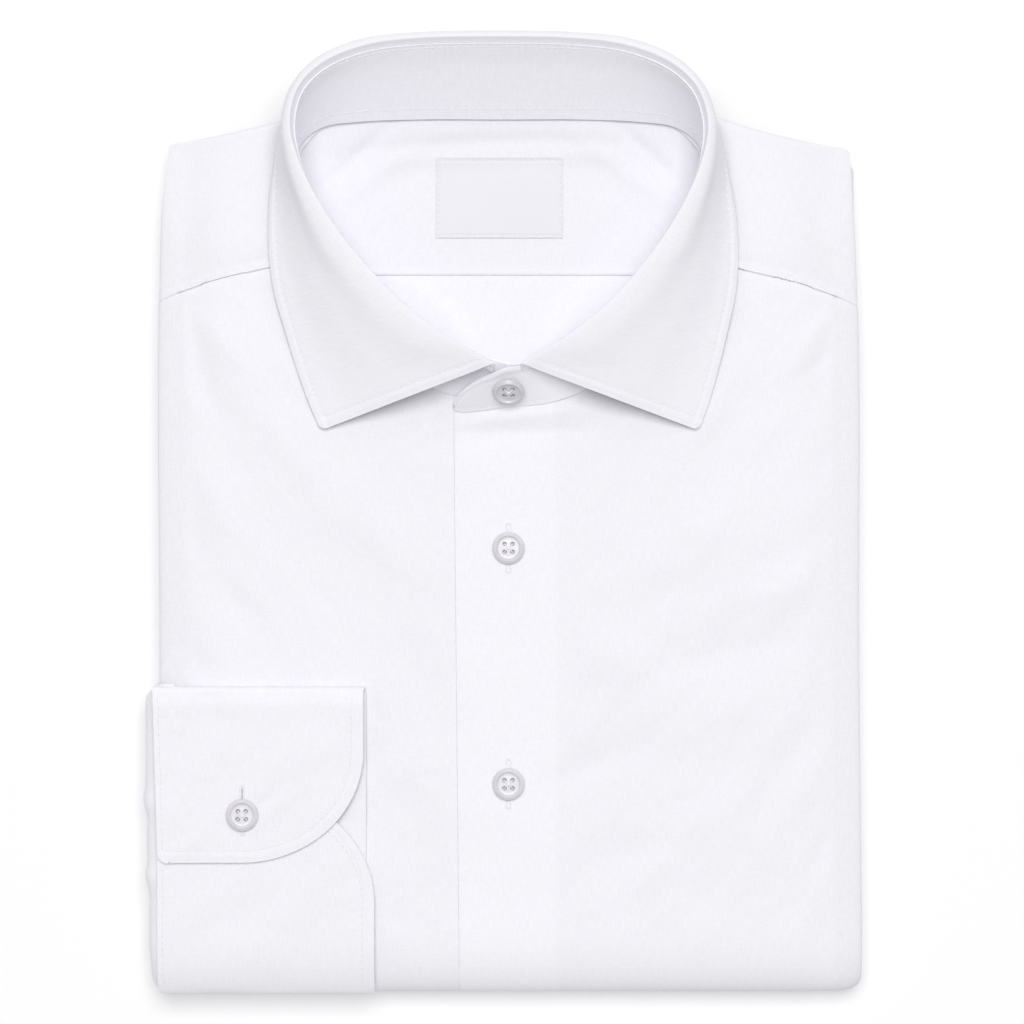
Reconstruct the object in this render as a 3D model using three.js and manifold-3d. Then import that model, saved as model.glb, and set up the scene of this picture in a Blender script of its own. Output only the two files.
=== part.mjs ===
// A dress shirt folded flat for storage: it lies on its back with the front up and the collar standing.
//
// Own frame, in millimetres: x = 0 at the line of front buttons and to the wearer's left when positive,
// y = 0 at the edge of the bottom fold and growing towards the collar, z = 0 on the surface below.
// The last lines move the whole shirt so that the origin is at the bottom centre of its box.
//
// The body is a stack of two thick layers joined by the bottom fold. A place on its cloth has the
// coordinates (x, q, height): q is y on the upper layer, runs on round the bottom fold and back along
// the lower layer, and height is the distance from the plane between the two layers.

import * as THREE from 'three';
import { mergeVertices } from 'three/addons/utils/BufferGeometryUtils.js';
import Module from 'manifold-3d';

const wasm = await Module();
wasm.setup();

// ---------- driving sizes ----------

const cloth = 1.2;            // wall of the body cloth
const seamGap = 0.4;          // air between neighbouring pieces
const stackHalf = 11;         // half the height of the folded stack
const shoulderHalf = 6.5;     // the same at the shoulder fold, where the stack is thinner
const shoulderSlopeFrom = 262;
const shoulderSlopeTo = 304;
const shoulderCornerQ = 300;  // where the side edge runs into the shoulder fold
const layerGap = 1.9;         // half the slot between the upper and the lower layer at the edges
const foldReach = 20;         // how far the bottom fold slopes before it turns under
const foldHeart = 8;          // the same for the innermost layer
const foldLength = 50.2;      // cloth in the bottom fold's half turn
const tailEndY = 297;         // outer edge of the tail fold on the lower layer
const rollTurn = 2.95;        // radians that the cloth turns round an edge before it is tucked in

const placketEdge = -19.3;    // edge of the over front's placket at the neck
const placketDrift = 2;       // it runs this much nearer the middle at the bottom fold
const placketDriftFrom = 205;
const placketInner = 17;      // where the placket's turned-in cloth ends
const placketRaise = 0.6;     // the placket's folded cloth stands this much higher
const placketStep = 4;        // and slopes down to the panel over this width
const underlapEnd = 10;       // the under front runs this far beneath the placket
const underlapDrop = 1.5;
const underlapFrom = -20.6;
const underlapTo = -19.4;

// outer edge of the folded body at each side, as distances from x = 0
const sideLine = [
  { q: 299, left: 121.0, right: 121.3 },
  { q: 280, left: 123.0, right: 122.4 },
  { q: 259, left: 123.8, right: 123.5 },
  { q: 122, left: 123.9, right: 124.5 },
  { q: 0, left: 124.0, right: 125.6 },
  { q: -30, left: 124.0, right: 125.6 },
  { q: -300, left: 122.5, right: 123.5 },
];

// outer edge of the shoulder fold: y at a distance x from the middle, on each side
const shoulderLine = [
  { x: 0, left: 315.2, right: 315.2 },
  { x: 60, left: 315.2, right: 314.8 },
  { x: 74, left: 311.8, right: 311.2 },
  { x: 85, left: 308.9, right: 307.7 },
  { x: 103, left: 304.7, right: 303.1 },
  { x: 121, left: 301.2, right: 299.5 },
];

// half of the collar, a row for each section from the back centre to the centre front, with [x, y, z] of
// the stand's lower edge, of the crest where the collar rolls over and of the leaf's outer edge (fall);
// belly = how far the leaf bows out between crest and edge
const collarRows = [
  { base: [0, 310.9, 18.05], crest: [0, 336.6, 47.5], fall: [0, 333.8, 4.0], belly: 1.5 },
  { base: [30, 310.9, 18.05], crest: [28, 336.0, 47.5], fall: [29, 333.5, 4.0], belly: 1.5 },
  { base: [50, 310.1, 18.05], crest: [46, 333.5, 47.5], fall: [50, 331.2, 5.0], belly: 1.6 },
  { base: [63, 308.2, 18.2], crest: [61.2, 327.2, 47.6], fall: [65, 325.0, 8.5], belly: 1.8 },
  { base: [71.2, 302.2, 18.7], crest: [69.8, 318.6, 47.8], fall: [72.4, 318.8, 13.0], belly: 2.2 },
  { base: [74.4, 290.6, 19.8], crest: [73.0, 306.8, 47.8], fall: [76.6, 309.0, 19.6], belly: 3.0 },
  { base: [74.2, 278.0, 21.0], crest: [71.2, 296.0, 47.2], fall: [79.6, 297.5, 21.8], belly: 4.0 },
  { base: [71, 264.5, 22.9], crest: [65.6, 282.5, 46.2], fall: [82.3, 280.0, 24.0], belly: 5.0 },
  { base: [64, 251.0, 23.5], crest: [57.4, 269.0, 45.0], fall: [83.0, 264.0, 24.4], belly: 5.5 },
  { base: [53, 236.0, 23.9], crest: [46.6, 255.2, 43.8], fall: [81.6, 249.0, 24.6], belly: 5.0 },
  { base: [40, 223.0, 24.3], crest: [34.8, 243.0, 42.6], fall: [78.4, 236.0, 24.6], belly: 4.4 },
  { base: [27, 214.0, 24.8], crest: [22.2, 233.2, 41.2], fall: [74.6, 222.0, 24.6], belly: 3.4 },
  { base: [15, 209.6, 25.0], crest: [12.4, 227.4, 39.8], fall: [70.8, 210.0, 24.6], belly: 2.6 },
  { base: [7, 208.4, 25.0], crest: [4.6, 222.8, 38.6], fall: [66.8, 199.6, 24.6], belly: 1.8 },
];
const collarLeanPerMm = -0.0355;  // the collar lies a little askew: its centre line drifts to one side
const collarCentreAt = { x: 0.5, y: 199 };
const collarMiddleY = 230;
const standCloth = 1.8;
const leafCloth = 1.6;
const standCells = 50;
const leafCells = 44;
const crestRise = 1.2;            // the leaf's crest above the seam that joins it to the stand

// the stand's over end past the centre front, from the last row of the collar to the rounded tip
const overEnd = [
  { base: [0, 208.0, 25.0], top: [-0.6, 220.8, 37.4] },
  { base: [-6.5, 207.0, 24.9], top: [-6.6, 218.4, 35.9] },
  { base: [-12, 206.3, 24.8], top: [-12.2, 216.2, 33.8] },
  { base: [-16.4, 206.0, 24.7], top: [-16.8, 213.0, 30.6] },
  { base: [-19.2, 206.6, 24.8], top: [-19.4, 209.0, 27.0] },
];
// the under end runs on behind the over side's first sections, rows of collarRows from the end, and tapers
const underEnd = [
  { behind: 1, topShare: 0.9 },
  { behind: 2, topShare: 0.62 },
];
const underEndSink = 2.4;         // the under end of the stand lies this far behind the over end
const underEndRows = 5;           // sections over which it sinks there
const standTopBack = 0.4;         // the stand's upper edge lies this far short of the crest

// the seam between yoke and front: its height at one place, its slope, and its droop towards the edge
const yokeSeam = { atX: 85, y: 257, slope: 0.22, droopFrom: 95, droop: 0.0045, skew: 0.007 };
const yokeMeetsNeckAt = 67;
const yokeSeamEnd = 120;

// large soft folds of the front: across = half width, lift below zero is a trough
const frontFolds = [
  { x: -98, y: 212, angle: -68, half: 44, across: 12, lift: -0.7 },
  { x: -88, y: 214, angle: -60, half: 34, across: 10, lift: 0.6 },
  { x: -92, y: 140, angle: -42, half: 30, across: 10, lift: -0.6 },
  { x: -60, y: 168, angle: -48, half: 42, across: 12, lift: 0.8 },
  { x: -36, y: 112, angle: -58, half: 34, across: 10, lift: -0.6 },
  { x: 100, y: 216, angle: 50, half: 28, across: 9, lift: 0.7 },
  { x: 86, y: 208, angle: 38, half: 32, across: 9, lift: -0.6 },
  { x: 75, y: 122, angle: 75, half: 30, across: 11, lift: -0.6 },
  { x: 48, y: 96, angle: 20, half: 34, across: 12, lift: 0.7 },
  { x: 104, y: 88, angle: 62, half: 34, across: 10, lift: -0.6 },
];

const cuffCloth = 1.5;
const cuffLevels = { lowest: 0.45, under: 2.25, over: 4.05 };  // bottom of each layer above the front
const cuffTopQ = 108.6;           // upper fold of the flattened cuff
const cuffBottomQ = 4.2;          // lower fold, lying over the shirt's own bottom fold
const overEndQ = 47.1;
const underEndQ = 72;
const cuffCorner = { alongX: 43, alongQ: 39 };
const cuffRight = { over: -51.3, lowest: -50.4, under: -47.5 };
const cuffLeft = { over: -125.6, lowest: -117.4, under: -124.0 };

const sleeveQ = { from: 1.2, to: 106.5 };
const sleeveTaper = 2.1;          // the sleeve stands out this much less at the bottom fold
const sleeveTucks = [             // small tucks in its edge
  { q: 69, deep: 0.5, long: 4 },
  { q: 42, deep: 0.6, long: 4.5 },
];
const sleeveCloth = 1.3;
const sleeveInnerX = -106;
const sleeveBulge = 9.6;          // how far the sleeve stands out from the start of the side's roll

const buttonRadius = 5.7;
const buttonThick = 2.4;
const buttonHole = { radius: 0.75, offset: 1.42 };
const frontButtonY = [158.1, 74.6];
const cuffButton = { x: -93.9, q: 64 };
const buttonSeat = 0.3;
const standBow = 0.4;             // the stand bows out this far under its button

const insideFloor = 15.2;         // height of the back's inner side under the neck opening
const insideCrown = 0.8;
const insideRimRise = 1.5;        // it rises to the neck seam at the back
const backSeamY = 255;
const pocketFloor = 13.4;
const neckLabel = { x: -3.2, y: 282.4, width: 45, height: 28.4, thick: 1.0 };

// half outline of the back that shows inside the neck, from the neck seam to its hidden lower edge
const insideOutline = [
  { y: 309.0, half: 49 },
  { y: 307.0, half: 61 },
  { y: 300.6, half: 69 },
  { y: 289.6, half: 72.2 },
  { y: 277.0, half: 72 },
  { y: 264.0, half: 68.6 },
  { y: 250.0, half: 61.6 },
  { y: 235.0, half: 52 },
  { y: 221.0, half: 41 },
  { y: 198.0, half: 30 },
];

// ---------- small helpers ----------

const clamp = THREE.MathUtils.clamp;
const lerp = THREE.MathUtils.lerp;

function lookUp(rows, key, at, column) {
  const rising = rows[rows.length - 1][key] > rows[0][key];
  const sorted = rising ? rows : [...rows].reverse();
  if (at <= sorted[0][key]) return sorted[0][column];
  for (let i = 1; i < sorted.length; i += 1) {
    if (at <= sorted[i][key]) {
      const share = (at - sorted[i - 1][key]) / (sorted[i][key] - sorted[i - 1][key]);
      return lerp(sorted[i - 1][column], sorted[i][column], share);
    }
  }
  return sorted[sorted.length - 1][column];
}

function ramp(value, from, to) {
  return clamp((value - from) / (to - from), 0, 1);
}

function smooth(value, from, to) {
  const t = ramp(value, from, to);
  return t * t * (3 - 2 * t);
}

function spread(from, to, cells) {
  return Array.from({ length: cells + 1 }, (_, i) => lerp(from, to, i / cells));
}

// ---------- closed solids from grids of points ----------

function signedVolume(points, faces) {
  let sum = 0;
  for (const [a, b, c] of faces) {
    sum += points[a].dot(new THREE.Vector3().crossVectors(points[b], points[c]));
  }
  return sum / 6;
}

function solidFrom(points, faces) {
  const raw = new THREE.BufferGeometry();
  raw.setAttribute('position', new THREE.Float32BufferAttribute(points.flatMap((p) => [p.x, p.y, p.z]), 3));
  const turned = signedVolume(points, faces) < 0 ? faces.map(([a, b, c]) => [a, c, b]) : faces;
  raw.setIndex(turned.flat());
  const merged = mergeVertices(raw, 1e-3);
  const old = merged.getIndex().array;
  const kept = [];
  for (let i = 0; i < old.length; i += 3) {
    const [a, b, c] = [old[i], old[i + 1], old[i + 2]];
    if (a !== b && b !== c && c !== a) kept.push(a, b, c);
  }
  merged.setIndex(kept);
  return merged;
}

// a wall of cloth: outer and inner skin over one grid, closed all round its rim
function wallSolid(acrossCount, alongCount, pointAt) {
  const points = [];
  for (const skin of [0, 1]) {
    for (let i = 0; i < acrossCount; i += 1) {
      for (let j = 0; j < alongCount; j += 1) points.push(pointAt(i, j, skin));
    }
  }
  const at = (i, j, skin) => (skin * acrossCount + i) * alongCount + j;
  const faces = [];
  const quad = (a, b, c, d) => faces.push([a, b, c], [a, c, d]);
  for (let i = 0; i + 1 < acrossCount; i += 1) {
    for (let j = 0; j + 1 < alongCount; j += 1) {
      quad(at(i, j, 0), at(i + 1, j, 0), at(i + 1, j + 1, 0), at(i, j + 1, 0));
      quad(at(i, j, 1), at(i, j + 1, 1), at(i + 1, j + 1, 1), at(i + 1, j, 1));
    }
    const last = alongCount - 1;
    quad(at(i, 0, 0), at(i, 0, 1), at(i + 1, 0, 1), at(i + 1, 0, 0));
    quad(at(i, last, 0), at(i + 1, last, 0), at(i + 1, last, 1), at(i, last, 1));
  }
  for (let j = 0; j + 1 < alongCount; j += 1) {
    const last = acrossCount - 1;
    quad(at(0, j, 0), at(0, j + 1, 0), at(0, j + 1, 1), at(0, j, 1));
    quad(at(last, j, 0), at(last, j, 1), at(last, j + 1, 1), at(last, j + 1, 0));
  }
  return solidFrom(points, faces);
}

function toManifold(geometry) {
  const bare = geometry.clone();
  bare.deleteAttribute('normal');
  bare.deleteAttribute('uv');
  const merged = mergeVertices(bare, 1e-3);
  return new wasm.Manifold(new wasm.Mesh({
    numProp: 3,
    vertProperties: new Float32Array(merged.getAttribute('position').array),
    triVerts: new Uint32Array(merged.getIndex().array),
  }));
}

function fromManifold(solid) {
  const mesh = solid.getMesh();
  const geometry = new THREE.BufferGeometry();
  geometry.setAttribute('position', new THREE.Float32BufferAttribute(mesh.vertProperties, 3));
  geometry.setIndex([...mesh.triVerts]);
  return geometry;
}

// a flat plate over an outline, between two heights
function plate(outline, lowZ, highZ) {
  const shape = new THREE.Shape(outline.map(([x, y]) => new THREE.Vector2(x, y)));
  const geometry = new THREE.ExtrudeGeometry(shape, { depth: highZ - lowZ, bevelEnabled: false });
  geometry.translate(0, 0, lowZ);
  return geometry;
}

// ---------- the folded body's cloth ----------

function halfHeight(q) {
  return lerp(stackHalf, shoulderHalf, ramp(q, shoulderSlopeFrom, shoulderSlopeTo));
}

function rollRadius(q) {
  return (halfHeight(q) - layerGap) / 2;
}

function sideEdge(side, q) {
  return lookUp(sideLine, 'q', q, side < 0 ? 'left' : 'right') - rollRadius(q);
}

function shoulderEdge(x) {
  return lookUp(shoulderLine, 'x', Math.abs(x), x < 0 ? 'left' : 'right') - rollRadius(shoulderSlopeTo);
}

const foldEndQ = foldReach - foldLength;
const tailEdge = foldEndQ - (tailEndY - rollRadius(0) - foldReach);

// from (x, q, height) to the shirt's own frame; what lies above the stack keeps its thickness
function alongFold(x, q, height) {
  if (q >= foldReach) return new THREE.Vector3(x, q, stackHalf + height);
  if (q <= foldEndQ) return new THREE.Vector3(x, foldReach + foldEndQ - q, stackHalf - height);
  const turn = Math.PI * (foldReach - q) / foldLength;
  const inStack = Math.min(height, stackHalf);
  const onStack = Math.max(height - stackHalf, 0);
  const reach = lerp(foldHeart, foldReach, inStack / stackHalf) + onStack;
  return new THREE.Vector3(x, foldReach - reach * Math.sin(turn), stackHalf + height * Math.cos(turn));
}

function softFolds(x, q) {
  const inside = smooth(q, 22, 44) * (1 - smooth(q, 236, 258)) * (1 - smooth(Math.abs(x), 104, 117));
  if (inside === 0) return 0;
  let sum = 0;
  for (const fold of frontFolds) {
    const angle = THREE.MathUtils.degToRad(fold.angle);
    const dx = x - fold.x;
    const dy = q - fold.y;
    const along = (dx * Math.cos(angle) + dy * Math.sin(angle)) / fold.half;
    const across = (dy * Math.cos(angle) - dx * Math.sin(angle)) / fold.across;
    sum += fold.lift * Math.exp(-across * across - along * along);
  }
  return sum * inside;
}

// a point of the cloth; the two turns say how far it has gone round a side edge and an end edge
function bodyPoint({ x, q, sideTurn = 0, endTurn = 0, depth = 0, lift = 0 }) {
  const turn = Math.max(sideTurn, endTurn);
  const radius = rollRadius(q);
  let heading = 0;
  if (sideTurn < endTurn) heading = Math.PI / 2 - (Math.PI / 4) * (sideTurn / endTurn);
  else if (sideTurn > 0) heading = (Math.PI / 4) * (endTurn / sideTurn);
  const out = (radius - depth) * Math.sin(turn);
  const height = layerGap + radius + (radius - depth) * Math.cos(turn) + lift * Math.max(0, Math.cos(turn));
  const endSide = q > 0 ? 1 : -1;
  return alongFold(
    x + Math.sign(x) * out * Math.cos(heading),
    q + endSide * out * Math.sin(heading),
    height,
  );
}

// ---------- collar curves ----------

function collarCentre(y) {
  return collarCentreAt.x + collarLeanPerMm * (y - collarCentreAt.y);
}

// a smooth run of sections through the table's own, each a set of points under the same names
function smoothSections(sections, cells) {
  const curves = Object.fromEntries(Object.keys(sections[0]).map((name) => [
    name,
    new THREE.CatmullRomCurve3(sections.map((section) => section[name]), false, 'centripetal'),
  ]));
  return spread(0, 1, cells).map((t) => Object.fromEntries(
    Object.entries(curves).map(([name, curve]) => [name, curve.getPoint(t)]),
  ));
}

function collarPoint(x, y, z) {
  return new THREE.Vector3(x + collarCentre(y), y, z);
}

// the neckline of the fronts and the yoke lies just under the stand's lower edge
const neckInset = 1.1;
const frontNeckBelow = 279;       // the front half of the neckline

function necklineY(x) {
  const reach = Math.abs(x - collarCentre(collarMiddleY));
  const seam = [...collarRows, overEnd[0]].map(({ base }) => ({ half: base[0], y: base[1] }));
  const rows = seam.filter((row) => row.y < frontNeckBelow);
  return lookUp(rows, 'half', reach, 'y') + neckInset;
}

function yokeSeamY(x) {
  const reach = Math.abs(x);
  const { atX, y, slope, droopFrom, droop, skew } = yokeSeam;
  return y - skew * x - slope * (reach - atX) - droop * Math.max(0, reach - droopFrom) ** 2;
}

function frontTop(x) {
  return Math.abs(x) < yokeMeetsNeckAt ? Math.min(necklineY(x), yokeSeamY(x)) : yokeSeamY(x);
}

// ---------- fronts ----------

const sideTurns = spread(0, rollTurn, 5).slice(1);
const panelRows = [188, 172, 156, 140, 124, 108, 92, 76, 60, 46, 33, foldReach];
const foldRows = spread(foldReach, foldEndQ, 8).slice(1);
const tailRows = [-90, -190, tailEdge];
const endTurns = spread(0, rollTurn, 4).slice(1);

function panelStations() {
  const rows = [0, 0.34, 0.68].map((share) => ({ share }));
  for (const q of [...panelRows, ...foldRows, ...tailRows]) rows.push({ q });
  for (const endTurn of endTurns) rows.push({ q: tailEdge, endTurn });
  return rows;
}

function frontPanel(side, innerStations, { liftAt, dropAt, shiftAt }) {
  const edgeShares = [0.14, 0.29, 0.44, 0.6, 0.76, 0.9, 1];
  const columns = innerStations.map((x) => ({ x }));
  for (const share of edgeShares) columns.push({ share });
  for (const sideTurn of sideTurns) columns.push({ share: 1, sideTurn });
  const rows = panelStations();
  const lastInner = innerStations[innerStations.length - 1];
  return wallSolid(columns.length, rows.length, (i, j, skin) => {
    const column = columns[i];
    const row = rows[j];
    const nominal = column.x ?? lerp(lastInner, side * sideEdge(side, 230), column.share);
    const top = frontTop(nominal) - seamGap / 2;
    const q = row.q ?? lerp(top, panelRows[0], row.share);
    const onPanel = column.x === undefined;
    const x = onPanel ? lerp(lastInner, side * sideEdge(side, q), column.share) : column.x + shiftAt(i, q);
    const upper = smooth(q, -10, foldReach);
    return bodyPoint({
      x,
      q,
      sideTurn: column.sideTurn,
      endTurn: row.endTurn,
      depth: skin * cloth + dropAt(x),
      lift: liftAt(x) * upper + softFolds(x, q) * upper,
    });
  });
}

function buildFrontRight() {
  const stepEnd = placketInner + placketStep;
  return frontPanel(1, [placketEdge, -9, 3, placketInner, stepEnd], {
    liftAt: (x) => placketRaise * (1 - ramp(x, placketInner, stepEnd)),
    dropAt: () => 0,
    shiftAt: (i, q) => (i === 0 ? placketDrift * (1 - ramp(q, 0, placketDriftFrom)) : 0),
  });
}

function buildFrontLeft() {
  return frontPanel(-1, [underlapEnd, -5, underlapTo, underlapFrom], {
    liftAt: () => 0,
    dropAt: (x) => underlapDrop * ramp(x, underlapFrom, underlapTo),
    shiftAt: () => 0,
  });
}

// ---------- yoke ----------

function yokeStations() {
  const cornerX = (side) => sideEdge(side, shoulderCornerQ);
  const cornerQ = (side) => shoulderEdge(side * cornerX(side));
  const seamY = (side, reach) => yokeSeamY(side * reach);
  const half = (side) => [
    { neckX: yokeMeetsNeckAt, neckY: seamY(side, yokeMeetsNeckAt), edgeQ: seamY(side, yokeSeamEnd), seam: 1 },
    { neckX: 70.4, neckY: 266, edgeQ: 262 },
    { neckX: 72.4, neckY: 276, edgeQ: 280 },
    { neckX: 72.8, neckY: 287.5, edgeQ: cornerQ(side) },
    { neckX: 72.6, neckY: 290.5, edgeQ: cornerQ(side), heading: 0.5 },
    { neckX: 72.2, neckY: 293.5, edgeX: cornerX(side), heading: 1 },
    { neckX: 70.2, neckY: 299.6, edgeX: 103, heading: 1 },
    { neckX: 66.2, neckY: 304.2, edgeX: 85, heading: 1 },
    { neckX: 61.6, neckY: 308.0, edgeX: 73, heading: 1 },
    { neckX: 49, neckY: 309.8, edgeX: 55, heading: 1 },
    { neckX: 25, neckY: 310.0, edgeX: 26, heading: 1 },
  ].map((row) => ({ ...row, side }));
  return [...half(-1), { neckX: 0, neckY: 310.0, edgeX: 0, heading: 1, side: 1 }, ...half(1).reverse()];
}

function buildYoke() {
  const stations = yokeStations();
  const flatShares = spread(0, 1, 4);
  const rows = flatShares.map((share) => ({ share }));
  for (const turn of sideTurns) rows.push({ share: 1, turn });
  return wallSolid(stations.length, rows.length, (i, j, skin) => {
    const { neckX, neckY, edgeQ, edgeX, heading = 0, seam = 0, side } = stations[i];
    const { share, turn = 0 } = rows[j];
    const endQ = edgeQ ?? shoulderEdge(side * edgeX);
    const endX = edgeX ?? sideEdge(side, endQ);
    const neckReach = side * neckX + collarCentre(neckY) * (neckX > 0 ? 1 : 0);
    const x = lerp(neckReach, side * endX, share);
    const straight = lerp(neckY, endQ, share);
    const q = seam ? yokeSeamY(x) + seamGap / 2 : straight;
    const sideTurn = heading === 1 ? 0 : turn;
    const endTurn = heading === 0 ? 0 : turn;
    return bodyPoint({ x, q, sideTurn, endTurn, depth: skin * cloth });
  });
}

// ---------- the hidden layers ----------

const coreDepth = 2.6;            // the hidden layers start this far under the cloth's outer face
const coreUnderlap = 0.5;         // and this much deeper where both fronts lie on them
const coreUnderlapEase = { start: 1.2, past: 0.8, stop: 3 };
const coreFloor = 2.0;            // they end this far from the plane between the two layers
const corePull = 3.5;             // and are set back this far at the rolled edges
const corePullPerTurn = 0.3;

// where a column and a row of the filling meet
function fillingPlace({ side, share, x }, { q, shoulder }) {
  const widest = x ?? side * share * sideEdge(side, q ?? shoulderCornerQ);
  const placeQ = q ?? lerp(shoulderSlopeFrom, shoulderEdge(widest), shoulder);
  return { x: x ?? side * share * sideEdge(side, Math.min(placeQ, shoulderCornerQ)), q: placeQ };
}

// the filling of both layers: an outer skin just under the cloth, closed by a plane near the slot
function buildFilling() {
  const turns = spread(0, Math.PI, 4).slice(1);
  const sunkFrom = underlapFrom - coreUnderlapEase.start;
  const sunkPast = underlapEnd + coreUnderlapEase.past;
  const sunkTo = underlapEnd + coreUnderlapEase.stop;
  const edge = (side) => [
    { side, share: 0.55 },
    { side, share: 1 },
    ...turns.map((sideTurn) => ({ side, share: 1, sideTurn })),
  ];
  const columns = [
    ...edge(-1).reverse(),
    ...[sunkFrom, underlapFrom, sunkPast, sunkTo].map((x) => ({ x })),
    ...edge(1),
  ];
  const rows = [
    ...[...turns].reverse().map((endTurn) => ({ shoulder: 1, endTurn, atEnd: true })),
    { shoulder: 1, atEnd: true },
    { shoulder: 0.5 },
    ...[shoulderSlopeFrom, 200, 110, foldReach, ...foldRows].map((q) => ({ q })),
    { q: tailEdge, atEnd: true },
    ...turns.map((endTurn) => ({ q: tailEdge, endTurn, atEnd: true })),
  ];
  return wallSolid(columns.length, rows.length, (i, j, skin) => {
    const { share, sideTurn = 0 } = columns[i];
    const { endTurn = 0, atEnd } = rows[j];
    const { x, q } = fillingPlace(columns[i], rows[j]);
    if (skin === 0) {
      const sunk = ramp(x, sunkFrom, underlapFrom) * (1 - ramp(x, sunkPast, sunkTo));
      return bodyPoint({ x, q, sideTurn, endTurn, depth: coreDepth + coreUnderlap * sunk });
    }
    const pullSide = share === 1 ? corePull - corePullPerTurn * sideTurn : 0;
    const pullEnd = atEnd ? corePull - corePullPerTurn * endTurn : 0;
    return alongFold(x - Math.sign(x) * pullSide, q - Math.sign(q) * pullEnd, coreFloor);
  });
}

function buildFoldedCore() {
  const left = { plain: -120.6, atSleeve: -104.4 };
  const sleeveTop = sleeveQ.to + 3;
  const layer = (lowZ, highZ, leftX, notchX, rightX, endY) => plate([
    [rightX, 24],
    [rightX, endY - 8],
    [rightX - 4, endY - 3],
    [80, endY],
    [-80, endY],
    [leftX + 4, endY - 3],
    [leftX, endY - 8],
    [leftX, sleeveTop],
    [notchX, sleeveTop],
    [notchX, 24],
  ], lowZ, highZ);
  const slot = layerGap - 0.3;
  const upper = layer(stackHalf + 0.2, stackHalf + slot, left.plain, left.atSleeve, 121.6, 298.5);
  const lower = layer(stackHalf - slot, stackHalf - 0.2, left.plain + 2, left.plain + 1.2, 120.2, 296.5);
  const web = plate([
    [112, 9],
    [112, 288],
    [-112, 288],
    [-112, sleeveTop + 2],
    [left.atSleeve + 1, sleeveTop + 2],
    [left.atSleeve + 1, 9],
  ], stackHalf - coreFloor - 0.4, stackHalf + coreFloor + 0.4);
  const pocketEdge = (side) => insideOutline.map(({ y, half }, i) => {
    const past = (i === 0 ? 0.5 : 0) - (i === insideOutline.length - 1 ? 0.5 : 0);
    return [collarCentre(y) + side * (half + 0.8), y + past];
  });
  const pocket = plate([...pocketEdge(1), ...pocketEdge(-1).reverse()], pocketFloor, stackHalf * 3);
  return fromManifold(
    toManifold(buildFilling()).add(toManifold(upper)).add(toManifold(lower)).add(toManifold(web))
      .subtract(toManifold(pocket)),
  );
}

// ---------- inside of the neck ----------

function insideHeight(x, y) {
  const half = lookUp(insideOutline, 'y', y, 'half');
  const centre = 1 - (Math.abs(x - collarCentre(y)) / half) ** 2;
  return insideFloor + insideCrown * centre + insideRimRise * smooth(y, 292, insideOutline[0].y);
}

function insidePanel(topY, bottomY) {
  const shares = spread(-1, 1, 12);
  const between = insideOutline.map((row) => row.y).filter((y) => y < topY && y > bottomY);
  const rows = [topY, ...between, bottomY];
  return wallSolid(shares.length, rows.length, (i, j, skin) => {
    const y = rows[j];
    const x = collarCentre(y) + shares[i] * lookUp(insideOutline, 'y', y, 'half');
    return new THREE.Vector3(x, y, insideHeight(x, y) - skin * cloth);
  });
}

function buildNeckLabel() {
  const columns = spread(-neckLabel.width / 2, neckLabel.width / 2, 6);
  const rows = spread(-neckLabel.height / 2, neckLabel.height / 2, 4);
  return wallSolid(columns.length, rows.length, (i, j, skin) => {
    const x = neckLabel.x + columns[i];
    const y = neckLabel.y + rows[j];
    const under = insideHeight(x, y) + seamGap + 0.1;
    return new THREE.Vector3(x, y, under + (1 - skin) * neckLabel.thick);
  });
}

// ---------- collar ----------

// the full run of sections from the under end, round the back, to the over end
function standSections() {
  const half = collarRows.map((row) => ({
    base: row.base,
    top: [row.crest[0], row.crest[1] - standTopBack, row.crest[2] - crestRise - leafCloth],
  }));
  const place = (side, [x, y, z], sink) => {
    const back = sink * Math.SQRT1_2;
    return collarPoint(side * x, y + back, z - back);
  };
  const overSide = [...half, ...overEnd].map(({ base, top }) => ({
    base: place(1, base, 0),
    top: place(1, top, 0),
  }));
  const underSide = [...half, overEnd[0]].map((row, i) => {
    const sink = underEndSink * smooth(i, half.length - underEndRows, half.length - 1);
    return { base: place(-1, row.base, sink), top: place(-1, row.top, sink) };
  });
  for (const { behind, topShare } of underEnd) {
    const row = half[half.length - behind];
    const base = place(1, row.base, underEndSink);
    const top = place(1, row.top, underEndSink);
    underSide.push({ base, top: base.clone().lerp(top, topShare) });
  }
  return smoothSections([...underSide.reverse(), ...overSide.slice(1)], standCells);
}

// direction from the outside to the inside of the neck, square to a section and to the run of sections
function inwardAt(sections, i, rise) {
  const before = sections[Math.max(i - 1, 0)];
  const after = sections[Math.min(i + 1, sections.length - 1)];
  const run = new THREE.Vector3().subVectors(after.base, before.base)
    .add(new THREE.Vector3().subVectors(after.top, before.top)).normalize();
  return new THREE.Vector3().crossVectors(run, rise).normalize();
}

function buildStand() {
  const sections = standSections();
  const shares = [0, 0.5, 1];
  return wallSolid(sections.length, shares.length, (i, j, skin) => {
    const { base, top } = sections[i];
    const rise = new THREE.Vector3().subVectors(top, base).normalize();
    const inward = inwardAt(sections, i, rise);
    return new THREE.Vector3().lerpVectors(base, top, shares[j]).addScaledVector(inward, skin * standCloth);
  });
}

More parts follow.
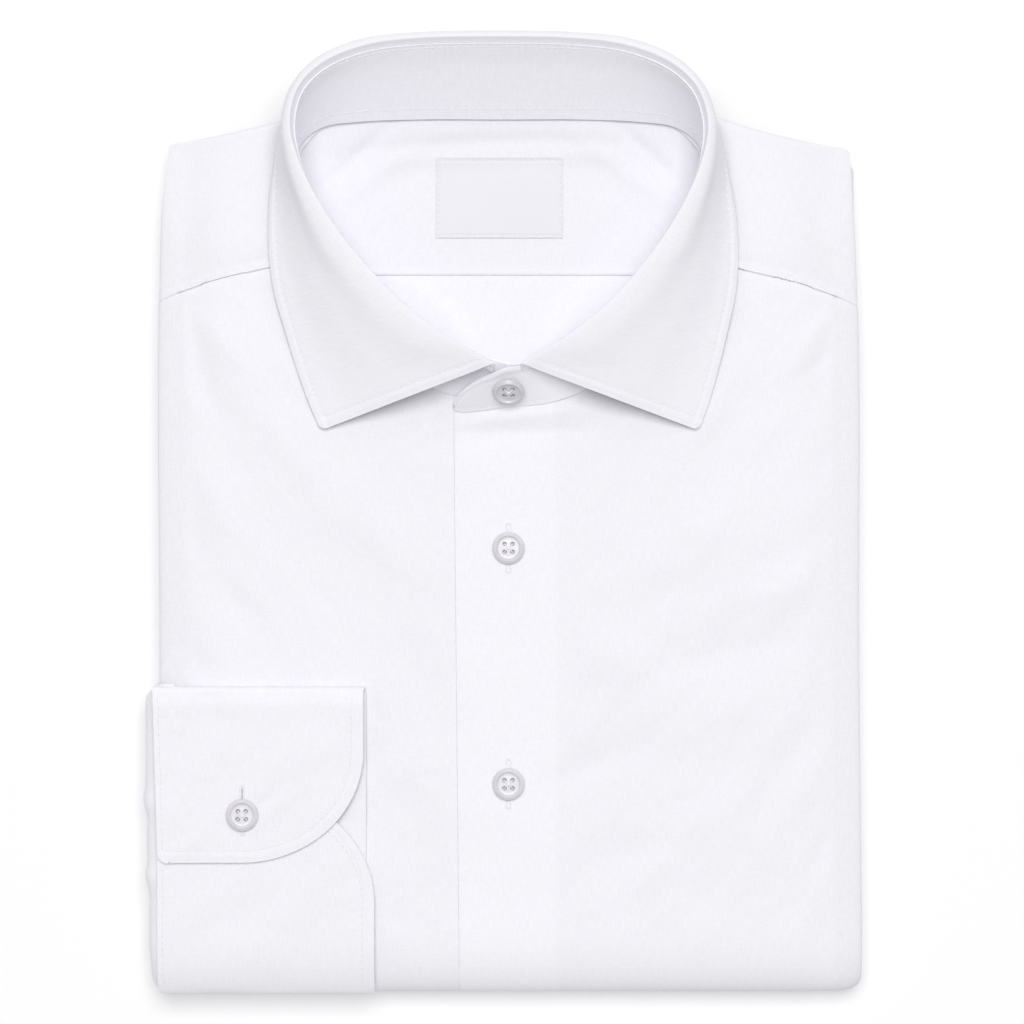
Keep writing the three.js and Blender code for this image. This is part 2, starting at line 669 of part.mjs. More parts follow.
function buildLeaf() {
  const side = (sign) => collarRows.map((row) => ({
    crest: collarPoint(sign * row.crest[0], row.crest[1], row.crest[2]),
    fall: collarPoint(sign * row.fall[0], row.fall[1], row.fall[2]),
    belly: new THREE.Vector3(row.belly, 0, 0),
  }));
  const sections = smoothSections([...side(-1).reverse(), ...side(1).slice(1)], leafCells);
  const upright = new THREE.Vector3(0, 0, 1);
  const curves = sections.map(({ crest, fall, belly }, i) => {
    const run = new THREE.Vector3()
      .subVectors(sections[Math.min(i + 1, sections.length - 1)].crest, sections[Math.max(i - 1, 0)].crest)
      .setZ(0).normalize();
    const outward = new THREE.Vector3().crossVectors(upright, run).normalize();
    const middle = new THREE.Vector3().lerpVectors(crest, fall, 0.5)
      .addScaledVector(outward, belly.x * 0.6).addScaledVector(upright, belly.x * 0.6);
    const shoulder = new THREE.Vector3().lerpVectors(crest, fall, 0.06)
      .addScaledVector(outward, 1.6).addScaledVector(upright, 0.2);
    const seam = crest.clone().addScaledVector(outward, -1.0).addScaledVector(upright, -crestRise);
    return new THREE.CatmullRomCurve3([seam, crest, shoulder, middle, fall], false, 'centripetal');
  });
  const shares = [0, 0.25, 0.36, 0.5, 0.62, 0.75, 0.88, 1];
  return wallSolid(curves.length, shares.length, (i, j, skin) => {
    const curve = curves[i];
    const point = curve.getPoint(shares[j]);
    const tangent = curve.getTangent(shares[j]);
    const before = curves[Math.max(i - 1, 0)].getPoint(shares[j]);
    const after = curves[Math.min(i + 1, curves.length - 1)].getPoint(shares[j]);
    const run = new THREE.Vector3().subVectors(after, before).normalize();
    const inward = new THREE.Vector3().crossVectors(tangent, run).normalize();
    return point.addScaledVector(inward, skin * leafCloth);
  });
}

// ---------- sleeve and cuff ----------

function buildSleeve() {
  const edge = -sideEdge(-1, 60);
  const centreH = layerGap + rollRadius(0);
  const innerRise = rollRadius(0) + 0.35;
  const arc = spread(0, Math.PI, 10);
  const inFold = foldRows.filter((q) => q > sleeveQ.from);
  const rows = [...spread(sleeveQ.to, foldReach, 6), ...inFold, sleeveQ.from];
  const columns = [{ x: sleeveInnerX }, ...arc.map((turn) => ({ turn })), { x: edge + 1.2, top: true }];
  return wallSolid(columns.length, rows.length, (i, j, skin) => {
    const { x, turn, top } = columns[i];
    const q = rows[j];
    const outward = 1 - skin;
    if (turn === undefined) {
      const rise = innerRise + outward * sleeveCloth;
      return alongFold(x, q, top ? centreH + rise : centreH - rise);
    }
    const tucks = sleeveTucks.map((tuck) => tuck.deep * Math.exp(-(((q - tuck.q) / tuck.long) ** 2)));
    const taper = sleeveTaper * (1 - ramp(q, 0, underEndQ));
    const wide = sleeveBulge + tucks[0] + tucks[1] - taper - skin * (sleeveCloth + 0.7);
    const high = innerRise + outward * sleeveCloth;
    return alongFold(edge - wide * Math.sin(turn), q, centreH - high * Math.cos(turn));
  });
}

// the flattened barrel: under end, down round the lower fold, up the lowest layer, over to the over end
function cuffPath() {
  const level = (name) => stackHalf + cuffLevels[name] + cuffCloth / 2;
  const layer = (name) => ({ height: level(name), right: cuffRight[name], left: cuffLeft[name] });
  const corner = (name, endQ, towards, angle) => ({
    ...layer(name),
    q: endQ + towards * cuffCorner.alongQ * (1 - Math.sin(angle)),
    right: cuffRight[name] - cuffCorner.alongX * (1 - Math.cos(angle)),
  });
  const cornerAngles = spread(0, Math.PI / 2, 4);
  const low = [foldReach, ...foldRows.filter((q) => q > cuffBottomQ), cuffBottomQ];
  const lowFold = (level('under') - level('lowest')) / 2;
  const highFold = (level('over') - level('lowest')) / 2;
  const highQ = cuffTopQ - highFold;
  return [
    ...cornerAngles.map((angle) => corner('under', underEndQ, -1, angle)).reverse(),
    ...low.map((q) => ({ ...layer('under'), q })),
    {
      q: cuffBottomQ - lowFold * 1.2,
      height: level('lowest') + lowFold,
      right: (cuffRight.under + cuffRight.lowest) / 2,
      left: cuffLeft.lowest,
    },
    ...[...low].reverse().map((q) => ({ ...layer('lowest'), q })),
    ...[50, 80, highQ].map((q) => ({ ...layer('lowest'), q })),
    ...[0.25, 0.5, 0.75].map((share) => ({
      q: highQ + highFold * Math.sin(Math.PI * share),
      height: level('lowest') + highFold * (1 - Math.cos(Math.PI * share)),
      right: lerp(cuffRight.lowest, cuffRight.over, share),
      left: lerp(cuffLeft.lowest, cuffLeft.over, share),
    })),
    ...[highQ, overEndQ + cuffCorner.alongQ + 6].map((q) => ({ ...layer('over'), q })),
    ...cornerAngles.map((angle) => ({
      ...corner('over', overEndQ, 1, angle),
      left: cuffLeft.over + 1.6 * Math.sin(angle),
    })),
  ];
}

function buildCuff() {
  const path = cuffPath();
  const shares = spread(0, 1, 4);
  const placed = path.map((row) => ({ ...row, point: new THREE.Vector2(row.q, row.height) }));
  return wallSolid(placed.length, shares.length, (i, j, skin) => {
    const row = placed[i];
    const before = placed[Math.max(i - 1, 0)].point;
    const after = placed[Math.min(i + 1, placed.length - 1)].point;
    const run = new THREE.Vector2().subVectors(after, before).normalize();
    const offset = (skin - 0.5) * cuffCloth;
    const q = row.q - run.y * offset;
    const height = row.height + run.x * offset;
    const x = lerp(row.left, row.right, shares[j]);
    return alongFold(x, q, height);
  });
}

// ---------- buttons ----------

function buttonGeometry() {
  const rim = buttonRadius;
  const profile = [
    [0, 0],
    [rim * 0.74, 0],
    [rim, buttonThick * 0.34],
    [rim, buttonThick * 0.7],
    [rim * 0.84, buttonThick],
    [rim * 0.66, buttonThick * 0.86],
    [rim * 0.52, buttonThick * 0.64],
    [0, buttonThick * 0.62],
  ].map(([x, y]) => new THREE.Vector2(x, y));
  const disc = new THREE.LatheGeometry(profile, 20);
  disc.rotateX(Math.PI / 2);
  let solid = toManifold(disc);
  if (solid.volume() < 0) throw new Error('button turned inside out');
  for (const [sx, sy] of [[1, 1], [1, -1], [-1, 1], [-1, -1]]) {
    const hole = new THREE.CylinderGeometry(buttonHole.radius, buttonHole.radius, buttonThick * 3, 6);
    hole.rotateX(Math.PI / 2);
    hole.translate(sx * buttonHole.offset, sy * buttonHole.offset, 0);
    solid = solid.subtract(toManifold(hole));
  }
  return fromManifold(solid);
}

// ---------- the shirt ----------

const materials = {
  cloth: new THREE.MeshStandardMaterial({ color: 0xf5f4fa, roughness: 0.9, metalness: 0 }),
  label: new THREE.MeshStandardMaterial({ color: 0xeeedf3, roughness: 0.75, metalness: 0 }),
  button: new THREE.MeshStandardMaterial({ color: 0xeceaf0, roughness: 0.35, metalness: 0 }),
};

const shirt = new THREE.Group();

function addNode(name, geometry, material) {
  const mesh = new THREE.Mesh(geometry, material);
  mesh.name = name;
  shirt.add(mesh);
  return mesh;
}

addNode('folded_core', buildFoldedCore(), materials.cloth);
addNode('front_left', buildFrontLeft(), materials.cloth);
addNode('front_right', buildFrontRight(), materials.cloth);
addNode('yoke', buildYoke(), materials.cloth);
const insideEnds = [insideOutline[0].y, insideOutline[insideOutline.length - 1].y];
addNode('yoke_inner', insidePanel(insideEnds[0], backSeamY + seamGap / 2), materials.cloth);
addNode('back_panel', insidePanel(backSeamY - seamGap / 2, insideEnds[1]), materials.cloth);
addNode('neck_label', buildNeckLabel(), materials.label);
addNode('collar_stand', buildStand(), materials.cloth);
addNode('collar_leaf', buildLeaf(), materials.cloth);
addNode('sleeve', buildSleeve(), materials.cloth);
addNode('cuff', buildCuff(), materials.cloth);

function seatButton(name, point, tilt) {
  const mesh = addNode(name, buttonGeometry(), materials.button);
  mesh.position.copy(point);
  mesh.rotation.x = tilt;
}

frontButtonY.forEach((y, i) => {
  const lift = placketRaise + Math.max(0, softFolds(0, y)) + buttonSeat;
  seatButton(`front_button_${i + 1}`, alongFold(0, y, stackHalf + lift), 0);
});

const cuffButtonHeight = stackHalf + cuffLevels.over + cuffCloth + buttonSeat;
seatButton('cuff_button', alongFold(cuffButton.x, cuffButton.q, cuffButtonHeight), 0);

const standFace = overEnd[0];
const standTilt = Math.atan2(standFace.top[2] - standFace.base[2], standFace.top[1] - standFace.base[1]);
const standMiddle = new THREE.Vector3(0, ...[1, 2].map((k) => (standFace.base[k] + standFace.top[k]) / 2));
const standOut = new THREE.Vector3(0, -Math.sin(standTilt), Math.cos(standTilt));
standMiddle.addScaledVector(standOut, buttonSeat + standBow);
seatButton('collar_button', standMiddle, standTilt);

// ---------- origin at the bottom centre of the box ----------

shirt.updateMatrixWorld(true);
const box = new THREE.Box3().setFromObject(shirt, true);
shirt.position.set(-(box.min.x + box.max.x) / 2, -(box.min.y + box.max.y) / 2, -box.min.z);

export default shirt;
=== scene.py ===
import math

import bmesh
import bpy
import numpy as np
from mathutils import Matrix, Vector, noise
from mathutils.bvhtree import BVHTree


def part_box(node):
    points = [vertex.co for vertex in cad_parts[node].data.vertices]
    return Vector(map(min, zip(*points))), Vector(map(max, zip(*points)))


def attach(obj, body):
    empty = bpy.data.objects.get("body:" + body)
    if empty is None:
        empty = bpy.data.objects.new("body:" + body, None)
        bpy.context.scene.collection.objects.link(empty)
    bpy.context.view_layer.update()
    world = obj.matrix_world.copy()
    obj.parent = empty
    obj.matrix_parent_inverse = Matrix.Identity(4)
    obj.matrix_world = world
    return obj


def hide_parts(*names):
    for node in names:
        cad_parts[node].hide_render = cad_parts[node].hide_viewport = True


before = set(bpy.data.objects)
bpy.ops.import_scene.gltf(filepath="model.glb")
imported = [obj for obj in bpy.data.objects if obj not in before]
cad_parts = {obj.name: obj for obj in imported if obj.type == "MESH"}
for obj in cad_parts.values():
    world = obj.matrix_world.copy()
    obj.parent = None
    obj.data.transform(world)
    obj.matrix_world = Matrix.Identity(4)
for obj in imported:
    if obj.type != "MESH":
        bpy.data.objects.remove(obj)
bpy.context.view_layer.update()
mm = 0.001

# All sizes are in millimetres, in the shirt's own axes: x = 0 at the line of front buttons, y = 0 at the
# edge of the bottom fold, z = 0 on the surface below. The first button gives the shift to the frame.
firstButton = {"x": 0.0, "y": 158.1}
buttonLow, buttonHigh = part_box("front_button_1")
ownToFrame = np.array((
    (buttonLow.x + buttonHigh.x) / 2 / mm - firstButton["x"],
    (buttonLow.y + buttonHigh.y) / 2 / mm - firstButton["y"],
    0.0,
))

viewer = {
    "x": 1.24, "y": 170.8, "height": 1500.0,   # straight above the middle of the shirt
    "lens": 146.8, "sensor": 36.0, "seesTo": 20000.0,
}

studio = {
    "world": 0.46,
    "key": {"at": (60, 1120, 4500), "size": 2500, "watts": 143.0},     # far above, toward the collar's side
    "floor": 3000.0, "floorDrop": 0.2, "floorColour": (0.80, 0.80, 0.805), "floorGlow": 0.158,
}


def inFrame(points):
    return (points + ownToFrame) * mm


def meshFrom(bm, name):
    mesh = bpy.data.meshes.new(name)
    bm.to_mesh(mesh)
    bm.free()
    return mesh


def addObject(name, data):
    item = bpy.data.objects.new(name, data)
    bpy.context.scene.collection.objects.link(item)
    return item


def addCamera():
    data = bpy.data.cameras.new("viewer")
    data.lens = viewer["lens"]
    data.sensor_width = viewer["sensor"]
    data.clip_end = viewer["seesTo"] * mm
    camera = addObject("viewer", data)
    camera.location = inFrame(np.array((viewer["x"], viewer["y"], viewer["height"])))
    bpy.context.scene.camera = camera


def addAreaLight(name, light):
    data = bpy.data.lights.new(name, "AREA")
    data.size = light["size"] * mm
    data.energy = light["watts"]
    lamp = addObject(name, data)
    lamp.location = Vector(light["at"]) * mm
    lamp.rotation_euler = (-lamp.location).to_track_quat("-Z", "Y").to_euler()


def addStudio():
    world = bpy.data.worlds.new("studio")
    bpy.context.scene.world = world
    world.use_nodes = True
    background = world.node_tree.nodes["Background"]
    background.inputs["Color"].default_value = (1, 1, 1, 1)
    background.inputs["Strength"].default_value = studio["world"]
    addAreaLight("key", studio["key"])
    bm = bmesh.new()
    bmesh.ops.create_grid(bm, x_segments=1, y_segments=1, size=studio["floor"] * mm / 2)
    bmesh.ops.translate(bm, verts=bm.verts, vec=(0, 0, -studio["floorDrop"] * mm))
    floor = addObject("floor", meshFrom(bm, "floor"))
    paint = bpy.data.materials.new("palePaper")
    paint.use_nodes = True
    shader = paint.node_tree.nodes["Principled BSDF"]
    shader.inputs["Base Color"].default_value = (*studio["floorColour"], 1)
    shader.inputs["Roughness"].default_value = 0.9
    shader.inputs["Specular IOR Level"].default_value = 0.0
    shader.inputs["Emission Color"].default_value = (1, 1, 1, 1)
    shader.inputs["Emission Strength"].default_value = studio["floorGlow"]
    floor.data.materials.append(paint)
    bpy.context.scene.view_settings.view_transform = "Standard"
    bpy.context.scene.view_settings.look = "None"


addCamera()
addStudio()
print("camera and lights placed")

# Shading. A cloth's pattern follows its cut: its UV map holds the flat pattern piece, in metres.
clothFinish = {
    "colour": (0.862, 0.854, 0.900),
    "thread": 0.22, "wander": 1.5,          # width of a warp or weft thread, and how far it strays
    "weaveDepth": 0.007,
    "warpSlubs": (2200, 260, 1), "weftSlubs": (300, 1900, 1), "weftShare": 0.4,
    "slubDepth": 0.034,
    "slubShade": 0.038,          # how much lighter or darker the slubs are
    "layersAndPaintedShade": 0.026,            # how much lighter the cloth is where it lies on more of itself, and how strongly painted light and shade lighten or darken it
    "roughness": 0.85, "sheen": 0.1,
}
labelFinish = {
    "colour": (0.775, 0.767, 0.812), "rib": 0.25, "ribStretch": 0.35, "ribDepth": 0.01, "ribShade": 0.02,
    "roughness": 0.6, "sheen": 0.3,
}
threadFinish = {"colour": (0.87, 0.862, 0.90), "twist": 0.28, "depth": 0.02, "shade": 0.03, "roughness": 0.7}
buttonFinish = {
    "colour": (0.725, 0.712, 0.755), "cloudShade": 0.05, "cloud": 5.0, "grain": 9.0, "grainDepth": 0.01,
    "roughness": 0.30, "coat": 0.2, "coatRoughness": 0.12,
}
shadedFinish = {**buttonFinish, "colour": (0.66, 0.648, 0.69), "coat": 0.1}     # painted shade: a darker copy of the button resin for the collar's button, which sits in shade under the leaf
# painted shade: the slit is a dark strip standing for the shaded gap in the buttonhole
slitFinish = {"colour": (0.42, 0.41, 0.45), "fray": 0.5, "frayShade": 0.2, "roughness": 0.95}
waveLength = math.pi / 10     # what a wave texture repeats in at scale 1


def newMaterial(name, finish):
    material = bpy.data.materials.new(name)
    material.use_nodes = True
    nodes = material.node_tree.nodes
    shader = nodes["Principled BSDF"]
    shader.inputs["Base Color"].default_value = (*finish["colour"], 1)
    shader.inputs["Roughness"].default_value = finish["roughness"]
    return material, nodes, material.node_tree.links, shader


def addNode(nodes, kind, **values):
    node = nodes.new(kind)
    for key, value in values.items():
        if key in node.inputs:
            node.inputs[key].default_value = value
        else:
            setattr(node, key, value)
    return node


def cutCoordinates(nodes, links, stretch):
    source = addNode(nodes, "ShaderNodeUVMap", uv_map="cut")
    mapping = addNode(nodes, "ShaderNodeMapping", Scale=stretch)
    links.new(source.outputs["UV"], mapping.inputs["Vector"])
    return mapping.outputs["Vector"]


def objectCoordinates(nodes, links, stretch):
    source = addNode(nodes, "ShaderNodeTexCoord")
    mapping = addNode(nodes, "ShaderNodeMapping", Scale=stretch)
    links.new(source.outputs["Object"], mapping.inputs["Vector"])
    return mapping.outputs["Vector"]


def mixShade(nodes, links, shader, finish, factor, share):
    # the colour, made lighter or darker by a factor between 0 and 1
    shades = addNode(nodes, "ShaderNodeValToRGB")
    for stop, position, change in zip(shades.color_ramp.elements, (0.3, 0.7), (-share, share)):
        stop.position = position
        stop.color = (*[min(1, c * (1 + change)) for c in finish["colour"]], 1)
    links.new(factor, shades.inputs["Fac"])
    links.new(shades.outputs["Color"], shader.inputs["Base Color"])
    return shades.outputs["Color"]


def addBump(nodes, links, shader, height, depth, after=None):
    bump = addNode(nodes, "ShaderNodeBump", Distance=depth * mm)
    links.new(height, bump.inputs["Height"])
    if after:
        links.new(after.outputs["Normal"], bump.inputs["Normal"])
    links.new(bump.outputs["Normal"], shader.inputs["Normal"])
    return bump


def makeCloth(name):
    finish = clothFinish
    material, nodes, links, shader = newMaterial(name, finish)
    shader.inputs["Sheen Weight"].default_value = finish["sheen"]
    shader.inputs["Specular IOR Level"].default_value = 0.2
    perThread = waveLength / (finish["thread"] * mm)
    weave = cutCoordinates(nodes, links, (perThread, perThread, 1))
    crossed = addNode(nodes, "ShaderNodeMath", operation="ADD")
    slubs = addNode(nodes, "ShaderNodeMix", Factor=finish["weftShare"])
    for i, (bands, stretch) in enumerate((("X", finish["warpSlubs"]), ("Y", finish["weftSlubs"]))):
        wander = finish["wander"]
        thread = addNode(nodes, "ShaderNodeTexWave", bands_direction=bands, Scale=1.0, Distortion=wander)
        links.new(weave, thread.inputs["Vector"])
        links.new(thread.outputs["Fac"], crossed.inputs[i])
        slub = addNode(nodes, "ShaderNodeTexNoise", Scale=1.0, Detail=2.0)
        links.new(cutCoordinates(nodes, links, stretch), slub.inputs["Vector"])
        links.new(slub.outputs["Fac"], slubs.inputs["AB"[i]])
    first = addBump(nodes, links, shader, crossed.outputs[0], finish["weaveDepth"])
    slubColour = mixShade(nodes, links, shader, finish, slubs.outputs["Result"], finish["slubShade"])
    # per-point factor: lighter where the cloth lies layered, plus painted light and shade on many pieces
    layersAndPaintedShade = addNode(nodes, "ShaderNodeAttribute", attribute_name="layersAndPaintedShade")
    toneFactor = addNode(nodes, "ShaderNodeMath", operation="MULTIPLY_ADD")
    toneFactor.inputs[1].default_value = finish["layersAndPaintedShade"]
    toneFactor.inputs[2].default_value = 1.0
    scaled = addNode(nodes, "ShaderNodeVectorMath", operation="SCALE")
    links.new(layersAndPaintedShade.outputs["Fac"], toneFactor.inputs[0])
    links.new(slubColour, scaled.inputs[0])
    links.new(toneFactor.outputs[0], scaled.inputs["Scale"])
    links.new(scaled.outputs["Vector"], shader.inputs["Base Color"])
    addBump(nodes, links, shader, slubs.outputs["Result"], finish["slubDepth"], first)
    return material


def makeLabelSatin():
    finish = labelFinish
    material, nodes, links, shader = newMaterial("labelSatin", finish)
    shader.inputs["Sheen Weight"].default_value = finish["sheen"]
    perRib = waveLength / (finish["rib"] * mm)
    weave = cutCoordinates(nodes, links, (perRib * finish["ribStretch"], perRib, 1))
    ribs = addNode(nodes, "ShaderNodeTexWave", bands_direction="Y", Scale=1.0, Distortion=1.2)
    links.new(weave, ribs.inputs["Vector"])
    mixShade(nodes, links, shader, finish, ribs.outputs["Fac"], finish["ribShade"])
    addBump(nodes, links, shader, ribs.outputs["Fac"], finish["ribDepth"])
    return material


def makeThread():
    finish = threadFinish
    material, nodes, links, shader = newMaterial("sewingThread", finish)
    place = objectCoordinates(nodes, links, (1 / mm,) * 3)
    fineness = waveLength / finish["twist"]
    twist = addNode(nodes, "ShaderNodeTexWave", bands_direction="DIAGONAL", Scale=fineness)
    links.new(place, twist.inputs["Vector"])
    mixShade(nodes, links, shader, finish, twist.outputs["Fac"], finish["shade"])
    addBump(nodes, links, shader, twist.outputs["Fac"], finish["depth"])
    return material


def makeButton(name, finish):
    material, nodes, links, shader = newMaterial(name, finish)
    shader.inputs["Coat Weight"].default_value = finish["coat"]
    shader.inputs["Coat Roughness"].default_value = finish["coatRoughness"]
    place = objectCoordinates(nodes, links, (1 / mm / finish["cloud"],) * 3)
    cloud = addNode(nodes, "ShaderNodeTexNoise", Scale=1.0, Detail=3.0)
    links.new(place, cloud.inputs["Vector"])
    mixShade(nodes, links, shader, finish, cloud.outputs["Fac"], finish["cloudShade"])
    grain = addNode(nodes, "ShaderNodeTexNoise", Scale=finish["grain"], Detail=2.0)
    links.new(place, grain.inputs["Vector"])
    addBump(nodes, links, shader, grain.outputs["Fac"], finish["grainDepth"])
    return material


def makeSlit():
    material, nodes, links, shader = newMaterial("slitShade", slitFinish)
    place = objectCoordinates(nodes, links, (1 / mm / slitFinish["fray"],) * 3)
    fray = addNode(nodes, "ShaderNodeTexNoise", Scale=1.0, Detail=2.0)
    links.new(place, fray.inputs["Vector"])
    mixShade(nodes, links, shader, slitFinish, fray.outputs["Fac"], slitFinish["frayShade"])
    return material


shirting = makeCloth("shirting")
labelSatin = makeLabelSatin()
sewingThread = makeThread()
buttonResin = makeButton("buttonResin", buttonFinish)
shadedResin = makeButton("shadedResin", shadedFinish)
slitShade = makeSlit()
print("finishes made")


# Curves through tables. Rows are spaced evenly in t, and the curve is a centripetal Catmull-Rom one.
def throughRows(rows, t):
    rows = np.asarray(rows, float)
    if rows.ndim == 2:
        rows = np.broadcast_to(rows, (len(t), *rows.shape))
    last = rows.shape[1] - 1
    first = 2 * rows[:, :1] - rows[:, 1:2]
    final = 2 * rows[:, -1:] - rows[:, -2:-1]
    padded = np.concatenate([first, rows, final], axis=1)
    place = np.clip(t, 0, 1) * last
    cell = np.minimum(place.astype(int), last - 1)
    w = (place - cell)[:, None]
    pick = np.arange(len(t))
    p0, p1, p2, p3 = (padded[pick, cell + k] for k in range(4))

    def step(a, b):
        return np.maximum(np.linalg.norm(b - a, axis=1), 1e-6)[:, None] ** 0.5

    d0, d1, d2 = step(p0, p1), step(p1, p2), step(p2, p3)
    m1 = ((p1 - p0) / d0 - (p2 - p0) / (d0 + d1) + (p2 - p1) / d1) * d1
    m2 = ((p2 - p1) / d1 - (p3 - p1) / (d1 + d2) + (p3 - p2) / d2) * d1
    turned = 2 * p1 - 2 * p2 + m1 + m2
    eased = -3 * p1 + 3 * p2 - 2 * m1 - m2
    return ((turned * w + eased) * w + m1) * w + p1


def smoothLook(table, key, column, at):
    knots = np.array(table[key], float)
    values = np.array(table[column], float)
    slopes = np.gradient(values, knots)
    at = np.clip(at, knots[0], knots[-1])
    cell = np.clip(np.searchsorted(knots, at) - 1, 0, len(knots) - 2)
    width = knots[cell + 1] - knots[cell]
    w = (at - knots[cell]) / width
    h00 = (1 + 2 * w) * (1 - w) ** 2
    h10 = w * (1 - w) ** 2
    h01 = w * w * (3 - 2 * w)
    h11 = w * w * (w - 1)
    rise = h00 * values[cell] + h01 * values[cell + 1]
    return rise + width * (h10 * slopes[cell] + h11 * slopes[cell + 1])


def ramp(value, low, high):
    return np.clip((value - low) / (high - low), 0, 1)


def smooth(value, low, high):
    t = ramp(value, low, high)
    return t * t * (3 - 2 * t)


def fade(value, low, high):
    return 1 - smooth(value, low, high)


def hump(value, at, wide):
    return np.exp(-((value - at) / wide) ** 2)


def between(a, b, share):
    return a + (b - a) * share


def unit(vectors):
    return vectors / np.maximum(np.linalg.norm(vectors, axis=-1, keepdims=True), 1e-9)


# The folded stack: two thick layers joined by the bottom fold. q runs down the upper layer, round the
# bottom fold and back along the lower layer; height is measured from the plane between the layers.
body = {
    "stackHalf": 11.0, "shoulderHalf": 6.5, "slopeFrom": 262.0, "slopeTo": 304.0,
    "layerGap": 1.9, "foldReach": 20.0, "foldHeart": 8.0, "foldLength": 50.2,
    "tailEnd": 297.0, "rollTurn": 2.95, "cornerQ": 300.0,
}
sideLine = {
    "q": [-300, -30, 0, 122, 259, 280, 299],
    "left": [122.5, 124.0, 124.0, 123.9, 123.8, 123.0, 121.0],
    "right": [123.5, 125.6, 125.6, 124.5, 123.5, 122.4, 121.3],
}
shoulderLine = {
    "x": [0, 60, 74, 85, 103, 121],
    "left": [315.2, 315.2, 311.8, 308.9, 304.7, 301.2],
    "right": [315.2, 314.8, 311.2, 307.7, 303.1, 299.5],
}
foldEnd = body["foldReach"] - body["foldLength"]


def halfHeight(q):
    return between(body["stackHalf"], body["shoulderHalf"], smooth(q, body["slopeFrom"], body["slopeTo"]))


def rollRadius(q):
    return (halfHeight(q) - body["layerGap"]) / 2


def sideEdge(side, q):
    return smoothLook(sideLine, "q", "left" if side < 0 else "right", q) - rollRadius(q)


def shoulderEdge(side, x):
    line = smoothLook(shoulderLine, "x", "left" if side < 0 else "right", np.abs(x))
    return line - rollRadius(np.full_like(line, body["slopeTo"]))


tailEdge = foldEnd - (body["tailEnd"] - float(rollRadius(np.array(0.0))) - body["foldReach"])


def alongFold(x, q, height):
    turn = np.pi * ramp(-q, -body["foldReach"], -foldEnd)
    inStack = np.minimum(height, body["stackHalf"])
    onStack = np.maximum(height - body["stackHalf"], 0)
    reach = between(body["foldHeart"], body["foldReach"], inStack / body["stackHalf"]) + onStack
    y = body["foldReach"] - reach * np.sin(turn)
    y = y + np.maximum(q - body["foldReach"], 0) + np.maximum(foldEnd - q, 0)
    return np.stack([x, y, body["stackHalf"] + height * np.cos(turn)], axis=-1)


def bodyPoint(x, q, sideTurn, endTurn, depth, lift, widen):
    radius = rollRadius(q)
    turn = np.maximum(sideTurn, endTurn)
    byEnd = np.pi / 2 - np.pi / 4 * sideTurn / np.maximum(endTurn, 1e-9)
    bySide = np.pi / 4 * endTurn / np.maximum(sideTurn, 1e-9)
    heading = np.where(sideTurn < endTurn, byEnd, bySide)
    out = (radius - depth) * np.sin(turn)
    height = body["layerGap"] + radius + (radius - depth) * np.cos(turn) + lift * np.maximum(0, np.cos(turn))
    endSide = np.where(q > 0, 1.0, -1.0)
    outSide = out + widen * np.sin(turn)     # the sides are rounded wider than they are high
    return alongFold(x + np.sign(x) * outSide * np.cos(heading), q + endSide * out * np.sin(heading), height)


# Creases: place, direction in degrees, half length, half width, bow sideways, lift (below zero is a trough)
def creaseHeight(rows, x, y):
    total = np.zeros_like(x)
    for placeX, placeY, angle, half, wide, bow, lift in rows:
        turn = math.radians(angle)
        along = ((x - placeX) * math.cos(turn) + (y - placeY) * math.sin(turn)) / half
        off = (y - placeY) * math.cos(turn) - (x - placeX) * math.sin(turn) - bow * along * along
        total += lift * np.exp(-(np.abs(off / wide) ** 1.7) - along * along)
    return total


def undulation(x, y, span, high, seed):
    flat = np.stack([x.ravel() / span, y.ravel() / span], axis=1)
    values = [noise.noise(Vector((a, b, seed))) for a, b in flat]
    return high * np.array(values).reshape(x.shape)


# Pieces of cloth. Stations across and along give the grid, and shape(a, b) its points and its flat cut.
def makeSheet(name, across, along, shape, thick, material, flip=False, offset=-1.0, edge=0.16):
    across = np.asarray(across, float)
    along = np.asarray(along, float)
    bm = bmesh.new()
    bmesh.ops.create_grid(bm, x_segments=len(across) - 1, y_segments=len(along) - 1, size=0.5)
    if flip:
        bmesh.ops.reverse_faces(bm, faces=bm.faces)
    mesh = meshFrom(bm, name)
    grid = np.empty(len(mesh.vertices) * 3)
    mesh.vertices.foreach_get("co", grid)
    grid = grid.reshape(-1, 3) + 0.5
    a = across[np.rint(grid[:, 0] * (len(across) - 1)).astype(int)]
    b = along[np.rint(grid[:, 1] * (len(along) - 1)).astype(int)]
    points, cut, *layersAndPaintedShade = shape(a, b)
    mesh.vertices.foreach_set("co", inFrame(points).ravel())
    # a per-point tone of layering and painted light and shade
    if layersAndPaintedShade:
        layers = mesh.attributes.new("layersAndPaintedShade", "FLOAT", "POINT")
        layers.data.foreach_set("value", layersAndPaintedShade[0])
    corners = np.empty(len(mesh.loops), int)
    mesh.loops.foreach_get("vertex_index", corners)
    layer = mesh.uv_layers.new(name="cut")
    layer.data.foreach_set("uv", (cut[corners] * mm).ravel())
    mesh.polygons.foreach_set("use_smooth", np.ones(len(mesh.polygons), bool))
    mesh.materials.append(material)
    mesh.update()
    piece = addObject(name, mesh)
    wall = piece.modifiers.new("thickness", "SOLIDIFY")
    wall.thickness = thick * mm
    wall.offset = offset
    rim = piece.modifiers.new("rim", "BEVEL")
    rim.width = edge * mm
    rim.segments = 2
    rim.limit_method = "ANGLE"
    rim.angle_limit = math.radians(55)
    rim.harden_normals = True
    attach(piece, "root")
    return piece


def steps(low, high, size):
    return np.linspace(low, high, max(1, round(abs(high - low) / size)) + 1)


def joinSteps(*runs):
    return np.concatenate([runs[0]] + [run[1:] for run in runs[1:]])


def stations(*runs):
    return joinSteps(*[np.linspace(*run) for run in runs])


